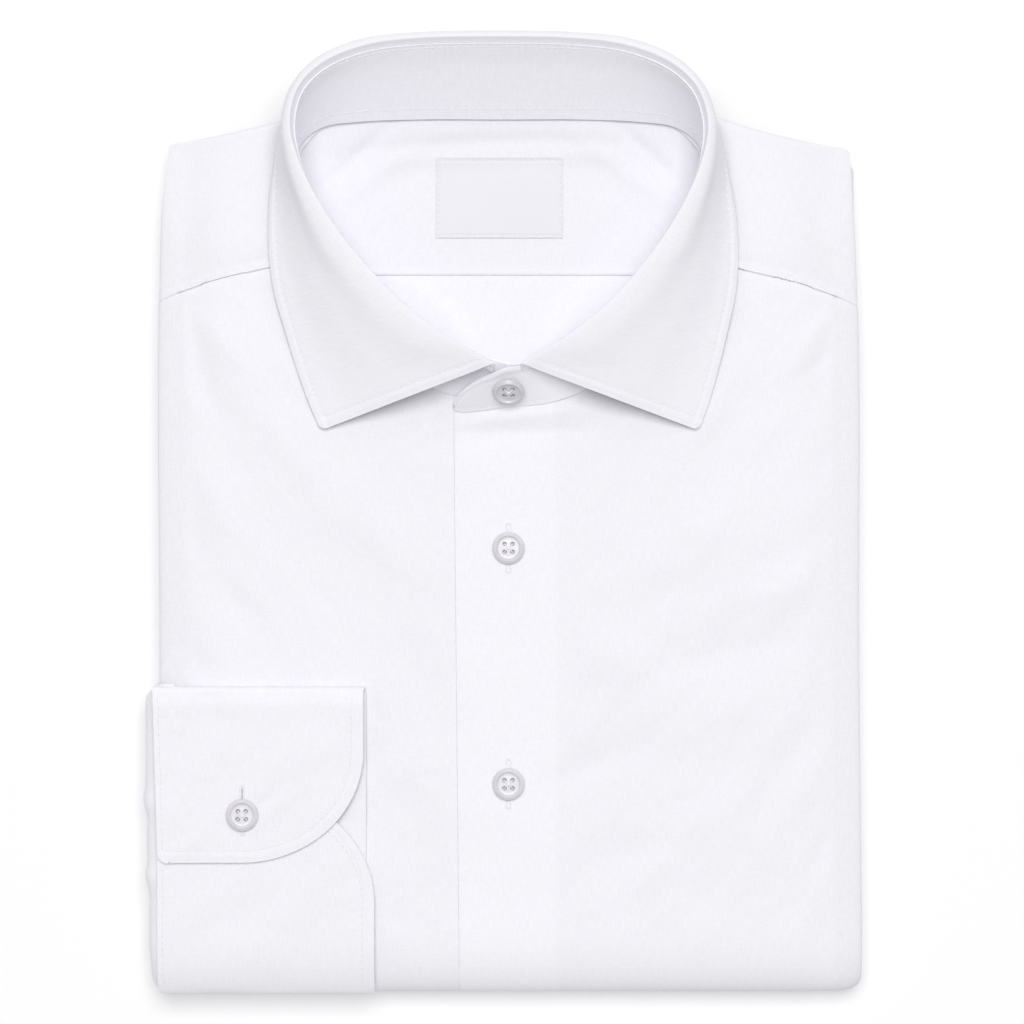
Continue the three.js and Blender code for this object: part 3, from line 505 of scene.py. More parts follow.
# The collar's rows, from the back centre to the centre front: lower edge of the stand, crest of the roll
# and outer edge of the leaf.
collar = {
    "leanPerMm": -0.0355, "centreX": 0.5, "centreY": 199.0,
    "rows": [
        ((0, 310.9, 18.05), (0, 336.6, 46.9), (0, 333.8, 4.0)),
        ((30, 310.9, 18.05), (28, 336.0, 46.9), (29, 333.5, 4.0)),
        ((50, 310.1, 18.05), (46, 333.5, 47.1), (50, 331.2, 5.0)),
        ((63, 308.2, 18.2), (61.2, 327.2, 47.6), (65, 325.0, 8.5)),
        ((71.2, 302.2, 18.7), (69.8, 318.6, 47.8), (72.4, 318.8, 13.0)),
        ((74.4, 290.6, 19.8), (73.0, 306.8, 47.8), (76.6, 309.0, 19.6)),
        ((74.2, 278.0, 21.0), (71.2, 296.0, 47.2), (79.6, 297.5, 21.8)),
        ((71, 264.5, 22.9), (65.6, 282.5, 46.2), (82.3, 280.0, 24.0)),
        ((64, 251.0, 23.5), (57.4, 269.0, 45.0), (83.0, 264.0, 24.4)),
        ((53, 236.0, 23.9), (46.6, 255.2, 43.8), (81.6, 249.0, 24.6)),
        ((40, 223.0, 24.3), (34.8, 243.0, 42.6), (78.4, 236.0, 24.6)),
        ((27, 214.0, 24.8), (22.2, 233.2, 41.2), (74.6, 222.0, 24.6)),
        ((15, 209.6, 25.0), (12.4, 227.4, 39.8), (70.8, 210.0, 24.6)),
        ((7, 208.4, 25.0), (4.6, 222.8, 38.6), (66.8, 199.6, 24.6)),
    ],
    "overEnd": [   # lower and upper edge of the stand's over end
        ((0, 208.0, 25.0), (-0.6, 220.8, 37.4)),
        ((-6.5, 207.0, 24.9), (-6.6, 218.4, 35.9)),
        ((-12, 206.3, 24.8), (-12.2, 216.2, 33.8)),
        ((-16.4, 206.0, 24.7), (-16.8, 213.0, 30.6)),
        ((-19.2, 206.6, 24.8), (-19.4, 209.0, 27.0)),
    ],
    "underEnd": [(1, 0.9), (2, 0.62)],   # rows from the end, and how much of the stand's height is left
    "underSink": 2.4, "sinkRows": 5,
    "standBack": 0.4, "standBelow": 2.8,     # from the crest of the roll to the stand's upper edge
    "standThick": 1.3, "leafThick": 1.1,
    "standLip": 1.1, "leafOnStand": 0.75,    # the stand's top edge stops short, and the leaf starts on it
    "standTuck": 1.15, "standCrown": 0.6,
    "rimSeam": 1.6, "neckSeam": 5.2,         # the stand's stitches, from its upper and its lower edge
    "standCut": (14.0, 29.0), "leafCut": 15.0,     # millimetres of cloth to a row, and to the stand's height
    # painted light on the stand, less on its over end, and painted shade along the stand's top edge at the
    # back
    "standPaintedLight": 4.7, "overEndShade": -2.4, "lipPaintedShade": -6.2,
    # painted light on the leaf's inner part next to the stand, more in the crevice inside the crest
    "leafPaintedLight": 3.4, "crevicePaintedLight": 2.2,
}


def collarCentre(y):
    return collar["centreX"] + collar["leanPerMm"] * (y - collar["centreY"])


def leant(side, point, sink=0.0):
    back = sink * math.sqrt(0.5)
    x, y, z = point
    return (side * x + collarCentre(y + back), y + back, z - back)


# Fronts
frontCloth = {
    "thick": 0.55, "cell": 1.5525, "foldCell": 2.0, "underCell": 5.0,
    "placketEdge": -19.3, "placketDrift": 2.0, "driftFrom": 205.0,
    "placketInner": 17.4, "placketRaise": 0.6, "stepHalf": 2.6,
    "underlapEnd": 10.0, "underlapDrop": 0.82,
    "plainFrom": 188.0,
    "yokeSeam": {"atX": 85.0, "y": 257.0, "slope": 0.22, "droopFrom": 95.0, "droop": 0.0045, "skew": 0.007},
    "yokeMeetsNeck": 67.0, "neckInset": 1.1, "underYoke": 2.5, "underYokeDrop": 0.65,
    "placketRoll": 0.22, "seamRoll": 0.15,    # how far the edges beside the placket and the yoke turn down
    "creaseGain": 1.7, "buttonsAt": [158.1, 74.6], "buttonCalm": 0.85, "calmArea": 110.0,
    "waves": [(36.0, 0.7, 3.1), (14.0, 0.36, 7.7)],     # span, height and seed
    "sideRollShade": -1.7,     # painted shade: the cloth is darker at the side roll
    "sideWiden": 3.6, "sideDroop": 2.3, "droopWide": 15.0, "foldGain": 1.2,
    "standRise": 1.8, "riseFrom": 198.5,     # the cloth climbs to the collar stand at the front
    "drag": 0.62, "dragLong": 27.0, "dragWide": 10.0, "dragTurn": 50.0,
}
largeFolds = [
    (-108, 210, -68, 34, 9, 2, -1.1),
    (-95, 226, -37, 30, 9, -3, 1.0),
    (-97, 141, -41, 26, 8, 2, -1.1),
    (-61, 179, -47, 38, 10, -3, 1.2),
    (-34, 115, -59, 34, 8, 2, -1.0),
    (-64, 118, -36, 24, 11, 0, 0.8),
    (-74, 92, 12, 30, 12, 0, -0.7),
    (104, 226, 44, 30, 7, 3, 1.0),
    (88, 214, 52, 34, 7, -3, -1.0),
    (65, 160, 34, 26, 11, 0, 0.9),
    (103, 146, 22, 24, 7, 2, 1.0),
    (80, 121, 12, 30, 7, -2, -0.9),
    (38, 120, -30, 26, 10, 2, 0.9),
    (84, 103, 30, 26, 8, 0, 0.6),
    (36, 82, 16, 26, 8, 0, -0.9),
    (103, 88, 58, 26, 8, 2, -0.9),
    (40, 50, 64, 26, 9, 0, -0.8),
    (72, 60, 40, 34, 12, 0, 0.9),
]
smallCreases = [
    (-110, 222, -72, 30, 4.5, 3, -0.30),
    (-84, 226, -38, 26, 5.0, -3, 0.28),
    (-104, 176, -64, 24, 4.0, 2, 0.22),
    (-74, 150, -52, 26, 5.5, 2, -0.25),
    (-52, 178, -70, 22, 4.5, -2, 0.20),
    (-30, 150, -80, 30, 4.5, 1, 0.18),
    (-44, 128, -62, 20, 4.0, 2, 0.18),
    (-34, 66, -84, 26, 5.0, 0, -0.20),
    (112, 226, 42, 16, 3.2, 2, -0.32),
    (104, 232, 34, 22, 3.6, -2, 0.30),
    (96, 196, 48, 24, 4.5, 2, -0.22),
    (70, 206, 62, 26, 5.0, 2, 0.22),
    (110, 164, 70, 22, 5.0, -2, 0.24),
    (66, 150, 58, 24, 5.5, 2, 0.22),
    (92, 112, 40, 20, 5.0, 1, 0.20),
    (34, 84, 30, 18, 4.5, -1, -0.24),
    (56, 52, 16, 24, 5.0, 1, -0.24),
    (112, 52, 66, 16, 3.2, 1, -0.34),
    (118, 44, 62, 13, 2.6, 0, 0.30),
    (84, 60, 78, 24, 5.5, 2, 0.20),
    (-4, 203.2, 8, 20, 2.6, -0.5, 0.28),     # ridge on the placket below the stand
    (-2, 197.6, 8, 22, 3.0, -0.5, -0.18),
]


def yokeSeamY(x):
    seam = frontCloth["yokeSeam"]
    reach = np.abs(x)
    droop = seam["droop"] * np.maximum(0, reach - seam["droopFrom"]) ** 2
    return seam["y"] - seam["skew"] * x - seam["slope"] * (reach - seam["atX"]) - droop


def necklineY(x):
    rows = [row[0] for row in collar["rows"] if row[0][1] < 279] + [collar["overEnd"][0][0]]
    reach = [row[0] for row in rows][::-1]
    height = [row[1] for row in rows][::-1]
    return np.interp(np.abs(x - collarCentre(230.0)), reach, height) + frontCloth["neckInset"]


def frontTop(x):
    seam = yokeSeamY(x) + frontCloth["underYoke"]
    atNeck = np.abs(x) < frontCloth["yokeMeetsNeck"]
    return np.where(atNeck, np.minimum(necklineY(x), seam), seam)


def waves(rows, x, y):
    return sum(undulation(x, y, *row) for row in rows)


def frontRelief(x, q):
    cloth = frontCloth
    inside = smooth(q, 22, 44) * fade(q, 236, 258) * fade(np.abs(x), 102, 115)
    folds = creaseHeight(largeFolds, x, q) * inside * cloth["foldGain"]
    turn = np.sign(x) * math.radians(cloth["dragTurn"])
    along = (x * np.cos(turn) + q * np.sin(turn)) / cloth["dragLong"]
    off = (q * np.cos(turn) - x * np.sin(turn)) / cloth["dragWide"]
    drag = undulation(along, off, 1.0, cloth["drag"], 4.4) * smooth(np.abs(x), 16, 34)
    creases = creaseHeight(smallCreases, x, q) * cloth["creaseGain"] + waves(cloth["waves"], x, q) + drag
    relief = folds + creases * smooth(q, 6, 30) * fade(np.abs(x), 110, 117)
    relief = relief * smooth(yokeSeamY(x) - q, 0.5, 9)
    for buttonY in cloth["buttonsAt"]:
        near = np.exp(-(x * x + (q - buttonY) ** 2) / cloth["calmArea"])
        relief = relief * (1 - cloth["buttonCalm"] * near)
    return relief


def placketEdgeX(q):
    drift = frontCloth["placketDrift"] * (1 - ramp(q, 0, frontCloth["driftFrom"]))
    return frontCloth["placketEdge"] + drift


def frontShape(side):
    cloth = frontCloth
    tailRun = cloth["plainFrom"] - tailEdge
    step = (cloth["placketInner"] - cloth["stepHalf"], cloth["placketInner"] + cloth["stepHalf"])

    def shape(a, b):
        # a: 0 to 3 across the panel, then radians round its side
        # b: -1 to 0 above the plain rows, then millimetres
        share = ramp(b, -1, 0)
        q = cloth["plainFrom"] - np.clip(b, 0, tailRun)
        endTurn = np.maximum(b - tailRun, 0)
        sideTurn = np.maximum(a - 3, 0)
        onRoll = side * (rollRadius(q) + cloth["sideWiden"]) * np.sin(np.minimum(sideTurn, np.pi / 2))
        for _ in range(3):   # the top edge depends on x, and x on q
            x = acrossFront(side, np.minimum(a, 3), q)
            q = np.where(b < 0, between(frontTop(x + onRoll), cloth["plainFrom"], share), q)
        edge = placketEdgeX(q)
        fromSide = sideEdge(side, q) - cloth["sideWiden"] - np.abs(x)
        # painted shade darkens the cloth toward the side roll
        layersAndPaintedShade = cloth["sideRollShade"] * fade(fromSide, -2, 4)
        if side > 0:
            lift = cloth["placketRaise"] * fade(x, *step) - cloth["placketRoll"] * hump(x, edge, 0.5)
            depth = 0 * x
            layersAndPaintedShade = layersAndPaintedShade + fade(x, *step)
        else:
            lift = 0 * x
            depth = cloth["underlapDrop"] * smooth(x, edge - 0.9, edge + 1.2)
        nearStand = smooth(q, cloth["riseFrom"], 207) * smooth(x, -30, -17) * fade(x, 18, 36)
        lift = lift + cloth["standRise"] * nearStand
        seam = yokeSeamY(x + onRoll)
        underYoke = smooth(q, seam - 0.4, seam + 0.7) * (np.abs(x) > cloth["yokeMeetsNeck"] - 4)
        depth = depth + cloth["underYokeDrop"] * underYoke
        lift = lift - cloth["seamRoll"] * hump(q - seam, -0.6, 0.8) * (q < seam)
        lift = lift - cloth["sideDroop"] * fade(fromSide, -2, cloth["droopWide"])
        upper = smooth(q, -10, body["foldReach"])
        relief = (lift + frontRelief(x, q)) * upper
        points = bodyPoint(x, q, sideTurn, endTurn, depth, relief, cloth["sideWiden"])
        radius = rollRadius(q)
        return points, np.stack([x + side * radius * sideTurn, q - radius * endTurn], axis=-1), layersAndPaintedShade

    return shape


def acrossFront(side, a, q):
    edge = placketEdgeX(q)
    outer = side * (sideEdge(side, q) - frontCloth["sideWiden"])
    if side > 0:
        inner = frontCloth["placketInner"] + 0 * q
        half = frontCloth["stepHalf"]
        stops = np.stack([edge, inner - half, inner + half, outer])
    else:
        stops = np.stack([frontCloth["underlapEnd"] + 0 * q, edge + 1.2, edge - 1.6, outer])
    cell = np.minimum(a.astype(int), 2)
    pick = np.arange(len(a))
    return between(stops[cell, pick], stops[cell + 1, pick], a - cell)


def buildFront(name, side):
    across = stations((0, 1, 28 if side > 0 else 9), (1, 2, 7), (2, 3, 83), (3, 3 + body["rollTurn"], 13))
    plain = frontCloth["plainFrom"]
    along = joinSteps(
        np.linspace(-1, 0, 56),
        steps(0, plain - body["foldReach"], frontCloth["cell"]),
        steps(plain - body["foldReach"], plain - foldEnd, frontCloth["foldCell"]),
        steps(plain - foldEnd, plain - tailEdge, frontCloth["underCell"]),
        np.linspace(plain - tailEdge, plain - tailEdge + body["rollTurn"], 9),
    )
    piece = makeSheet(name, across, along, frontShape(side), frontCloth["thick"], shirting, flip=side > 0)
    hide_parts("front_right" if side > 0 else "front_left")


buildFront("frontUnder", -1)
buildFront("frontOver", 1)
print("fronts made")

# Yoke. Its rows run from the back centre to the front seam: where each leaves the neck, how far it heads
# up rather than out, and where it meets the edge
yokeCloth = {
    "thick": 0.55,
    "neckX": [0, 25, 49, 61.6, 66.2, 70.2, 72.2, 72.6, 72.8, 72.4, 70.4, 67],
    "neckY": [310.0, 310.0, 309.8, 308.0, 304.2, 299.6, 293.5, 290.5, 287.5, 276, 266, 260.9],
    "edgeX": [0, 26, 55, 73, 85, 103],
    "heading": [1, 1, 1, 1, 1, 1, 1, 0.5, 0, 0, 0, 0],
    # painted shade: the last value darkens the whole outer yoke
    "seamPuff": 0.30, "creaseGain": 1.9, "waves": [(26.0, 0.3, 5.3)], "white": -0.9,
    "flat": (0.270, 0.075), "area": 0.0082,
}
yokeCreases = [
    (-104, 276, 50, 22, 5.0, 1, 0.42),
    (-92, 286, 62, 20, 5.0, -1, -0.36),
    (-84, 282, 80, 22, 3.5, 1, 0.24),
    (-114, 268, 40, 14, 3.5, 0, -0.24),
    (88, 284, 104, 18, 4.0, 1, -0.30),
    (98, 280, 122, 22, 5.0, -1, 0.36),
    (112, 274, 138, 18, 4.0, 1, -0.26),
]


def halfYoke(s, k, b):
    # k: rows from the back centre; b: 0 at the neck, 1 at the edge, then radians round it
    widen = frontCloth["sideWiden"]
    knots = np.arange(len(yokeCloth["heading"]))
    columns = ("neckX", "neckY", "heading")
    neckX, neckY, heading = (np.interp(k, knots, yokeCloth[column]) for column in columns)
    cornerX = float(sideEdge(s, np.array(body["cornerQ"]))) - widen
    cornerQ = float(shoulderEdge(s, np.array(cornerX)))
    edgeX = np.interp(k, knots[:9], [*yokeCloth["edgeX"], cornerX, cornerX, cornerX])
    seamQ = float(yokeSeamY(np.array(s * 120.0)))
    bySide = np.interp(k, [8, 9, 10, 11], [cornerQ, 280, 262, seamQ])
    endQ = np.where(k <= 8, shoulderEdge(s, edgeX), bySide)
    endX = np.where(k <= 8, edgeX, sideEdge(s, endQ) - widen)
    start = s * neckX + collarCentre(neckY) * ramp(neckX, 0, 20)
    share = ramp(b, 0, 1)
    turn = np.maximum(b - 1, 0)
    x = between(start, s * endX, share)
    straight = between(neckY, endQ, share)
    sideTurn = turn * ramp(-heading, -1, -0.5)
    endTurn = turn * ramp(heading, 0, 0.5)
    onRoll = s * (rollRadius(straight) + widen) * np.sin(np.minimum(sideTurn, np.pi / 2))
    q = between(straight, yokeSeamY(x + onRoll), ramp(k, 10, 11))
    fromSeam = q - yokeSeamY(x + onRoll)
    puff = yokeCloth["seamPuff"] * (hump(fromSeam, 0.9, 1.1) - 0.6 * hump(fromSeam, 3.2, 0.9))
    calm = smooth(k, 4.5, 6) * fade(share, 0.92, 1)
    relief = creaseHeight(yokeCreases, x, q) * yokeCloth["creaseGain"] + waves(yokeCloth["waves"], x, q)
    fromSide = sideEdge(s, q) - widen - np.abs(x)
    droop = frontCloth["sideDroop"] * fade(fromSide, -2, frontCloth["droopWide"])
    lift = puff * (k > 9) + relief * calm * smooth(fromSeam, 1, 9) - droop
    points = bodyPoint(x, q, sideTurn, endTurn, 0.0, lift, widen)
    radius = rollRadius(q)
    return points, np.stack([x + s * radius * turn * (1 - heading), q + radius * turn * heading], axis=-1)


def yokeShape(a, b):
    side = np.where(a < 0, -1, 1)
    points = np.zeros((len(a), 3))
    cut = np.zeros((len(a), 2))
    for s in (-1, 1):
        pick = side == s
        points[pick], cut[pick] = halfYoke(s, np.abs(a[pick]), b[pick])
    # painted shade over the whole outer yoke
    return points, cut, 0 * a + yokeCloth["white"]


def buildYoke():
    half = stations((0, 4, 17), (4, 8, 33), (8, 10, 25), (10, 11, 17))
    across = np.concatenate([-half[::-1], half[1:]])
    along = stations((0, 1, 41), (1, 1 + body["rollTurn"], 13))
    piece = makeSheet("yokeOuter", across, along, yokeShape, yokeCloth["thick"], shirting)
    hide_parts("yoke")


buildYoke()
print("yoke made")

# Inside of the neck: inner yoke and back panel, half outline from the neck seam down
neckInside = {
    "y": [198.0, 221.0, 235.0, 250.0, 264.0, 277.0, 290.0, 301.6, 307.6, 309.3, 309.9],
    "half": [30, 41, 52, 61.6, 68.8, 72.4, 73.0, 70.2, 62.6, 55.0, 48.0],
    "floor": 15.2, "crown": 0.8, "rimRise": 1.6, "rimFrom": 292.0,
    "seamY": 255.0, "thick": 0.5, "creaseGain": 1.5, "waves": [(22.0, 0.25, 9.2)],
    "seamPuff": 0.35, "seamRise": 0.1, "seamDrop": 0.7, "seamRoll": 0.2,
    # painted shade on the inner yoke, deeper toward the collar band, and painted light on the back panel
    "innerYokeShade": -1.2, "paintedBandShadow": -1.5, "backPanelLight": 0.2,
}
insideCreases = [
    (-54, 297, 42, 18, 2.6, 1, -0.8),
    (-48, 290, 34, 22, 3.4, -1, 0.6),
    (-60, 284, 58, 16, 3.0, 1, -0.4),
    (50, 298, -44, 18, 2.6, 1, -0.8),
    (44, 290, -34, 22, 3.4, 1, 0.6),
    (58, 282, -60, 16, 3.0, -1, -0.4),
    (-8, 302.5, 2, 46, 2.2, -2, -0.5),
    (-6, 297, 2, 50, 2.8, -2, 0.35),
    (22, 240, 52, 24, 4.5, 2, 0.6),
    (-20, 238, -50, 24, 4.5, -2, 0.6),
    (6, 226, 80, 18, 5.0, 1, -0.4),
    (34, 266, 60, 18, 4.0, 1, -0.4),
]


def insideHeight(x, y):
    half = np.interp(y, neckInside["y"], neckInside["half"])
    centre = 1 - ((x - collarCentre(y)) / half) ** 4
    rise = neckInside["rimRise"] * smooth(y, neckInside["rimFrom"], neckInside["y"][-1])
    plain = neckInside["floor"] + neckInside["crown"] * centre + rise
    relief = creaseHeight(insideCreases, x, y) * neckInside["creaseGain"] + waves(neckInside["waves"], x, y)
    return plain + relief * smooth(centre, 0.02, 0.25)


def insidePoints(a, b):
    x = collarCentre(b) + a * np.interp(b, neckInside["y"], neckInside["half"])
    return x, insideHeight(x, b), b - neckInside["seamY"]


def innerYokeShape(a, b):
    x, z, fromSeam = insidePoints(a, b)
    z = z + neckInside["seamPuff"] * hump(fromSeam, 0.8, 1.0) + neckInside["seamRise"]
    # painted shade, deeper where the band above would shade the yoke
    layersAndPaintedShade = neckInside["innerYokeShade"] + neckInside["paintedBandShadow"] * smooth(b, 287, 306)
    return np.stack([x, b, z], axis=-1), np.stack([x, b], axis=-1), layersAndPaintedShade


def backPanelShape(a, b):
    x, z, fromSeam = insidePoints(a, b)
    z = z - neckInside["seamDrop"] * smooth(fromSeam, -0.4, 0.6)
    z = z - neckInside["seamRoll"] * hump(fromSeam, -0.8, 0.8)
    # painted light lifts the back panel slightly
    return np.stack([x, b, z], axis=-1), np.stack([x, b], axis=-1), 0 * x + neckInside["backPanelLight"]


def buildInside(name, node, along, shape):
    piece = makeSheet(name, np.linspace(-1, 1, 91), along, shape, neckInside["thick"], shirting)
    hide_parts(node)


insideTop = neckInside["y"][-1]
insideSeam = neckInside["seamY"]
yokeAlong = joinSteps(
    steps(insideSeam, insideSeam + 5, 0.5), steps(insideSeam + 5, insideTop - 4, 1.5),
    steps(insideTop - 4, insideTop, 0.4),
)
backAlong = joinSteps(
    steps(neckInside["y"][0], insideSeam - 4, 1.6), steps(insideSeam - 4, insideSeam + 2.4, 0.5),
)
buildInside("yokeInner", "yoke_inner", yokeAlong, innerYokeShape)
buildInside("backPanel", "back_panel", backAlong, backPanelShape)

neckLabel = {
    "x": -3.2, "y": 282.4, "width": 45.0, "height": 28.4, "thick": 0.5, "clear": 0.75, "stitchIn": 0.9,
    "sewnDown": 0.22, "belly": 0.25, "hem": 2.0, "stitchPitch": 2.0,
}


def labelShape(a, b):
    x = neckLabel["x"] + a
    y = neckLabel["y"] + b
    edge = np.minimum(neckLabel["width"] / 2 - np.abs(a), neckLabel["height"] / 2 - np.abs(b))
    sewn = neckLabel["sewnDown"] * hump(edge, neckLabel["stitchIn"], 0.45)
    z = insideHeight(x, y) + neckLabel["clear"] + neckLabel["belly"] * smooth(edge, 1, 9) - sewn
    return np.stack([x, y, z], axis=-1), np.stack([a, b], axis=-1)


def labelStations(half):
    inner = half - neckLabel["hem"]
    return joinSteps(steps(-half, -inner, 0.4), steps(-inner, inner, 1.5), steps(inner, half, 0.4))


def buildLabel():
    width, height = neckLabel["width"], neckLabel["height"]
    across, along = labelStations(width / 2), labelStations(height / 2)
    piece = makeSheet("neckLabel", across, along, labelShape, neckLabel["thick"], labelSatin, edge=0.12)
    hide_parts("neck_label")


buildLabel()
print("inside of the neck made")


# Stand and leaf of the collar
def underCrest(crest):
    x, y, z = crest
    return (x, y - collar["standBack"], z - collar["standBelow"])


def standRows():
    half = [(base, underCrest(crest)) for base, crest, _ in collar["rows"]]
    over = [(leant(1, base), leant(1, top)) for base, top in half + collar["overEnd"]]
    under = []
    for i, (base, top) in enumerate(half + collar["overEnd"][:1]):
        t = min(max((i - len(half) + collar["sinkRows"]) / (collar["sinkRows"] - 1), 0), 1)
        sink = collar["underSink"] * t * t * (3 - 2 * t)
        under.append((leant(-1, base, sink), leant(-1, top, sink)))
    for behind, share in collar["underEnd"]:
        base, top = half[len(half) - behind]
        low = np.array(leant(1, base, collar["underSink"]))
        high = np.array(leant(1, top, collar["underSink"]))
        under.append((low, between(low, high, share)))
    joined = under[::-1] + over[1:]
    return np.array([row[0] for row in joined]), np.array([row[1] for row in joined])


standBase, standTop = standRows()
firstOver = len(standBase) - len(collar["overEnd"])
lastUnder = len(collar["underEnd"]) + 1


def alongRows(rows, t, small):
    return throughRows(rows, np.minimum(t + small, 1)) - throughRows(rows, np.maximum(t - small, 0))


def standShape(a, b):
    # a: along the band, in rows; b: 0 at the neck seam, 1 at the top
    last = len(standBase) - 1
    base = throughRows(standBase, a / last)
    top = throughRows(standTop, a / last)
    leafOn = smooth(a, lastUnder - 0.5, lastUnder + 3) * fade(a, firstOver - 3, firstOver + 0.5)
    height = np.linalg.norm(top - base, axis=1)
    points = base + (top - base) * (b * (1 - leafOn * collar["standLip"] / height))[:, None]
    outer = unit(np.cross(top - base, alongRows(standBase, a / last, 0.004)))
    fromTop = (1 - b) * height
    band = smooth(a, firstOver - 3, firstOver - 1)
    hem = 0.20 * hump(fromTop, 1.1, 0.9) - 0.16 * hump(fromTop, 2.6, 0.6) - 0.12 * hump(b * height, 1.6, 0.6)
    fromBack = np.abs(a - last / 2 + 1)
    atBack = fade(fromBack, 5, 8)
    tuck = collar["standTuck"] * (1 - atBack) * b * b - collar["standCrown"] * atBack * smooth(b, 0.7, 1)
    points = points + outer * (leafOn * tuck + band * hem)[:, None]
    # painted light on the stand, less on the over end, and painted shade on its top edge at the back
    lip = smooth(b, 0.962, 1) * fade(fromBack, 7, 9.5)
    layersAndPaintedShade = collar["standPaintedLight"] + collar["overEndShade"] * band + collar["lipPaintedShade"] * lip
    return points, np.stack([a, b], axis=-1) * collar["standCut"], layersAndPaintedShade


def leafRows():
    table = []
    for side, rows in ((-1, collar["rows"][::-1]), (1, collar["rows"][1:])):
        for base, crest, fall in rows:
            table.append([leant(side, point) for point in (crest, fall, base, underCrest(crest))])
    return np.array(table).transpose(1, 0, 2)


leafCrest, leafFall, leafBase, leafTop = leafRows()
lastLeaf = len(leafCrest) - 1
leafCut = {
    "ridge": 0.21, "ridgeMost": 7.4, "ridgeLeast": 1.5, "corner": 2.4,
    "seamDown": 2.8, "seamUnderLip": 0.12,     # from the stand's edge to the leaf's seam, in front and behind
    "stitchSide": 3.2, "stitchFront": 4.2, "groove": 0.13, "puff": 0.14,
    "bend": [  # soft dents in the leaf: place along it in rows, share of its fall, half sizes, lift
        (2.6, 0.50, 2.0, 0.22, 0.9),
        (5.5, 0.55, 1.6, 0.20, -0.8),
        (20.5, 0.55, 1.6, 0.20, -0.8),
        (23.6, 0.50, 2.0, 0.22, 0.8),
    ],
}


def leafPoint(a, b):
    # a: along the leaf, in rows; b: 0 at its seam on the stand, 1 at its outer edge
    t = a / lastLeaf
    crest, fall, base, top = (throughRows(rows, t) for rows in (leafCrest, leafFall, leafBase, leafTop))
    run = alongRows(leafCrest, a / lastLeaf, 0.01)
    run[:, 2] = 0
    up = np.array((0.0, 0.0, 1.0))
    outward = unit(np.cross(up, unit(run)))
    wall = unit(top - base)
    inward = unit(np.cross(wall, unit(run)))
    inward = inward * np.sign(np.sum(inward * -outward, axis=1))[:, None]
    fromBack = np.abs(a - lastLeaf / 2)[:, None]
    atBack = fade(fromBack, 5, 8)
    atFront = smooth(fromBack, 9, lastLeaf / 2)
    onStand = collar["leafOnStand"] + collar["standCrown"] * atBack
    seamBelow = between(leafCut["seamDown"], collar["standLip"] - leafCut["seamUnderLip"], atBack)
    seam = top + inward * onStand - wall * seamBelow
    inner = between(seam, crest, 0.5) + inward * between(0.4, 0.1, atBack)
    level = (fall - crest) * np.array((1.0, 1.0, 0.0))
    drop = (crest - fall)[:, 2:]
    reach = np.linalg.norm(level, axis=1)[:, None]
    steep = fade(reach, 8, 18)
    ridge = np.minimum(leafCut["ridgeLeast"] + leafCut["ridge"] * reach, leafCut["ridgeMost"])
    shoulder = crest + unit(between(outward, unit(level), atFront)) * ridge - up * (0.055 * drop + 0.1)
    middle = crest + level * 0.52 - up * drop * between(0.42, 0.45, steep) + outward * 1.4 * steep
    outer = crest + level * 0.80 - up * drop * between(0.81, 0.78, steep) + outward * 0.8 * steep
    rows = np.stack([seam, inner, crest, shoulder, middle, outer, fall], axis=1)
    return throughRows(rows, b)


def leafEdgeRate(a):
    # how many millimetres one unit of b covers at the leaf's outer edge
    return np.linalg.norm(leafPoint(a, 1 + 0 * a) - leafPoint(a, 0.97 + 0 * a), axis=1) / 0.03


def acrossLeaf(a, b, small):
    return leafPoint(np.minimum(a + small, lastLeaf), b) - leafPoint(np.maximum(a - small, 0), b)


def stitchRelief(cut, rows):
    # a groove along each row of stitches, and a puffed strip between it and the edge
    lift = 0
    for distance, at in rows:
        lift = lift - cut["groove"] * hump(distance, at, 0.55)
        lift = lift + cut["puff"] * hump(distance, at * 0.5, 1.0)
    return lift


def leafShape(a, b):
    points = leafPoint(a, b)
    across = acrossLeaf(a, b, 0.02)
    down = leafPoint(a, np.minimum(b + 0.005, 1)) - leafPoint(a, np.maximum(b - 0.005, 0))
    outer = unit(np.cross(across, down))
    t = a / lastLeaf
    fallLength = np.linalg.norm(throughRows(leafFall, t) - throughRows(leafCrest, t), axis=1)
    fromSide = (1 - b) * leafEdgeRate(a)
    fromEnd = np.minimum(a, lastLeaf - a)     # in rows
    perRow = np.linalg.norm(acrossLeaf(a, b, 0.5), axis=1) / np.minimum(1.0, fromEnd + 0.5)
    fromFront = fromEnd * perRow
    radius = leafCut["corner"]
    nearSide = np.maximum(0, 1 - fromSide / radius)
    nearFront = np.maximum(0, 1 - fromFront / radius)
    pullSide = radius * nearSide * (1 - np.sqrt(1 - nearFront ** 2 / 2))
    pullFront = radius * nearFront * (1 - np.sqrt(1 - nearSide ** 2 / 2))
    towardMiddle = np.where(a < lastLeaf / 2, 1.0, -1.0)
    points = points - unit(down) * pullSide[:, None] + unit(across) * (towardMiddle * pullFront)[:, None]
    lift = stitchRelief(leafCut, ((fromSide, leafCut["stitchSide"]), (fromFront, leafCut["stitchFront"])))
    for row, share, wide, high, deep in leafCut["bend"]:
        lift = lift + deep * hump(a, row, wide) * hump(b, 0.4 + share * 0.6, high)
    points = points + outer * (lift * smooth(b, 0.36, 0.46))[:, None]
    # painted light on the leaf's inner part, more in the crevice inside the crest
    layersAndPaintedShade = collar["leafPaintedLight"] * fade(b, 0.22, 0.40) + collar["crevicePaintedLight"] * fade(b, 0.12, 0.19)
    return points, np.stack([a * collar["leafCut"], b * fallLength], axis=-1), layersAndPaintedShade


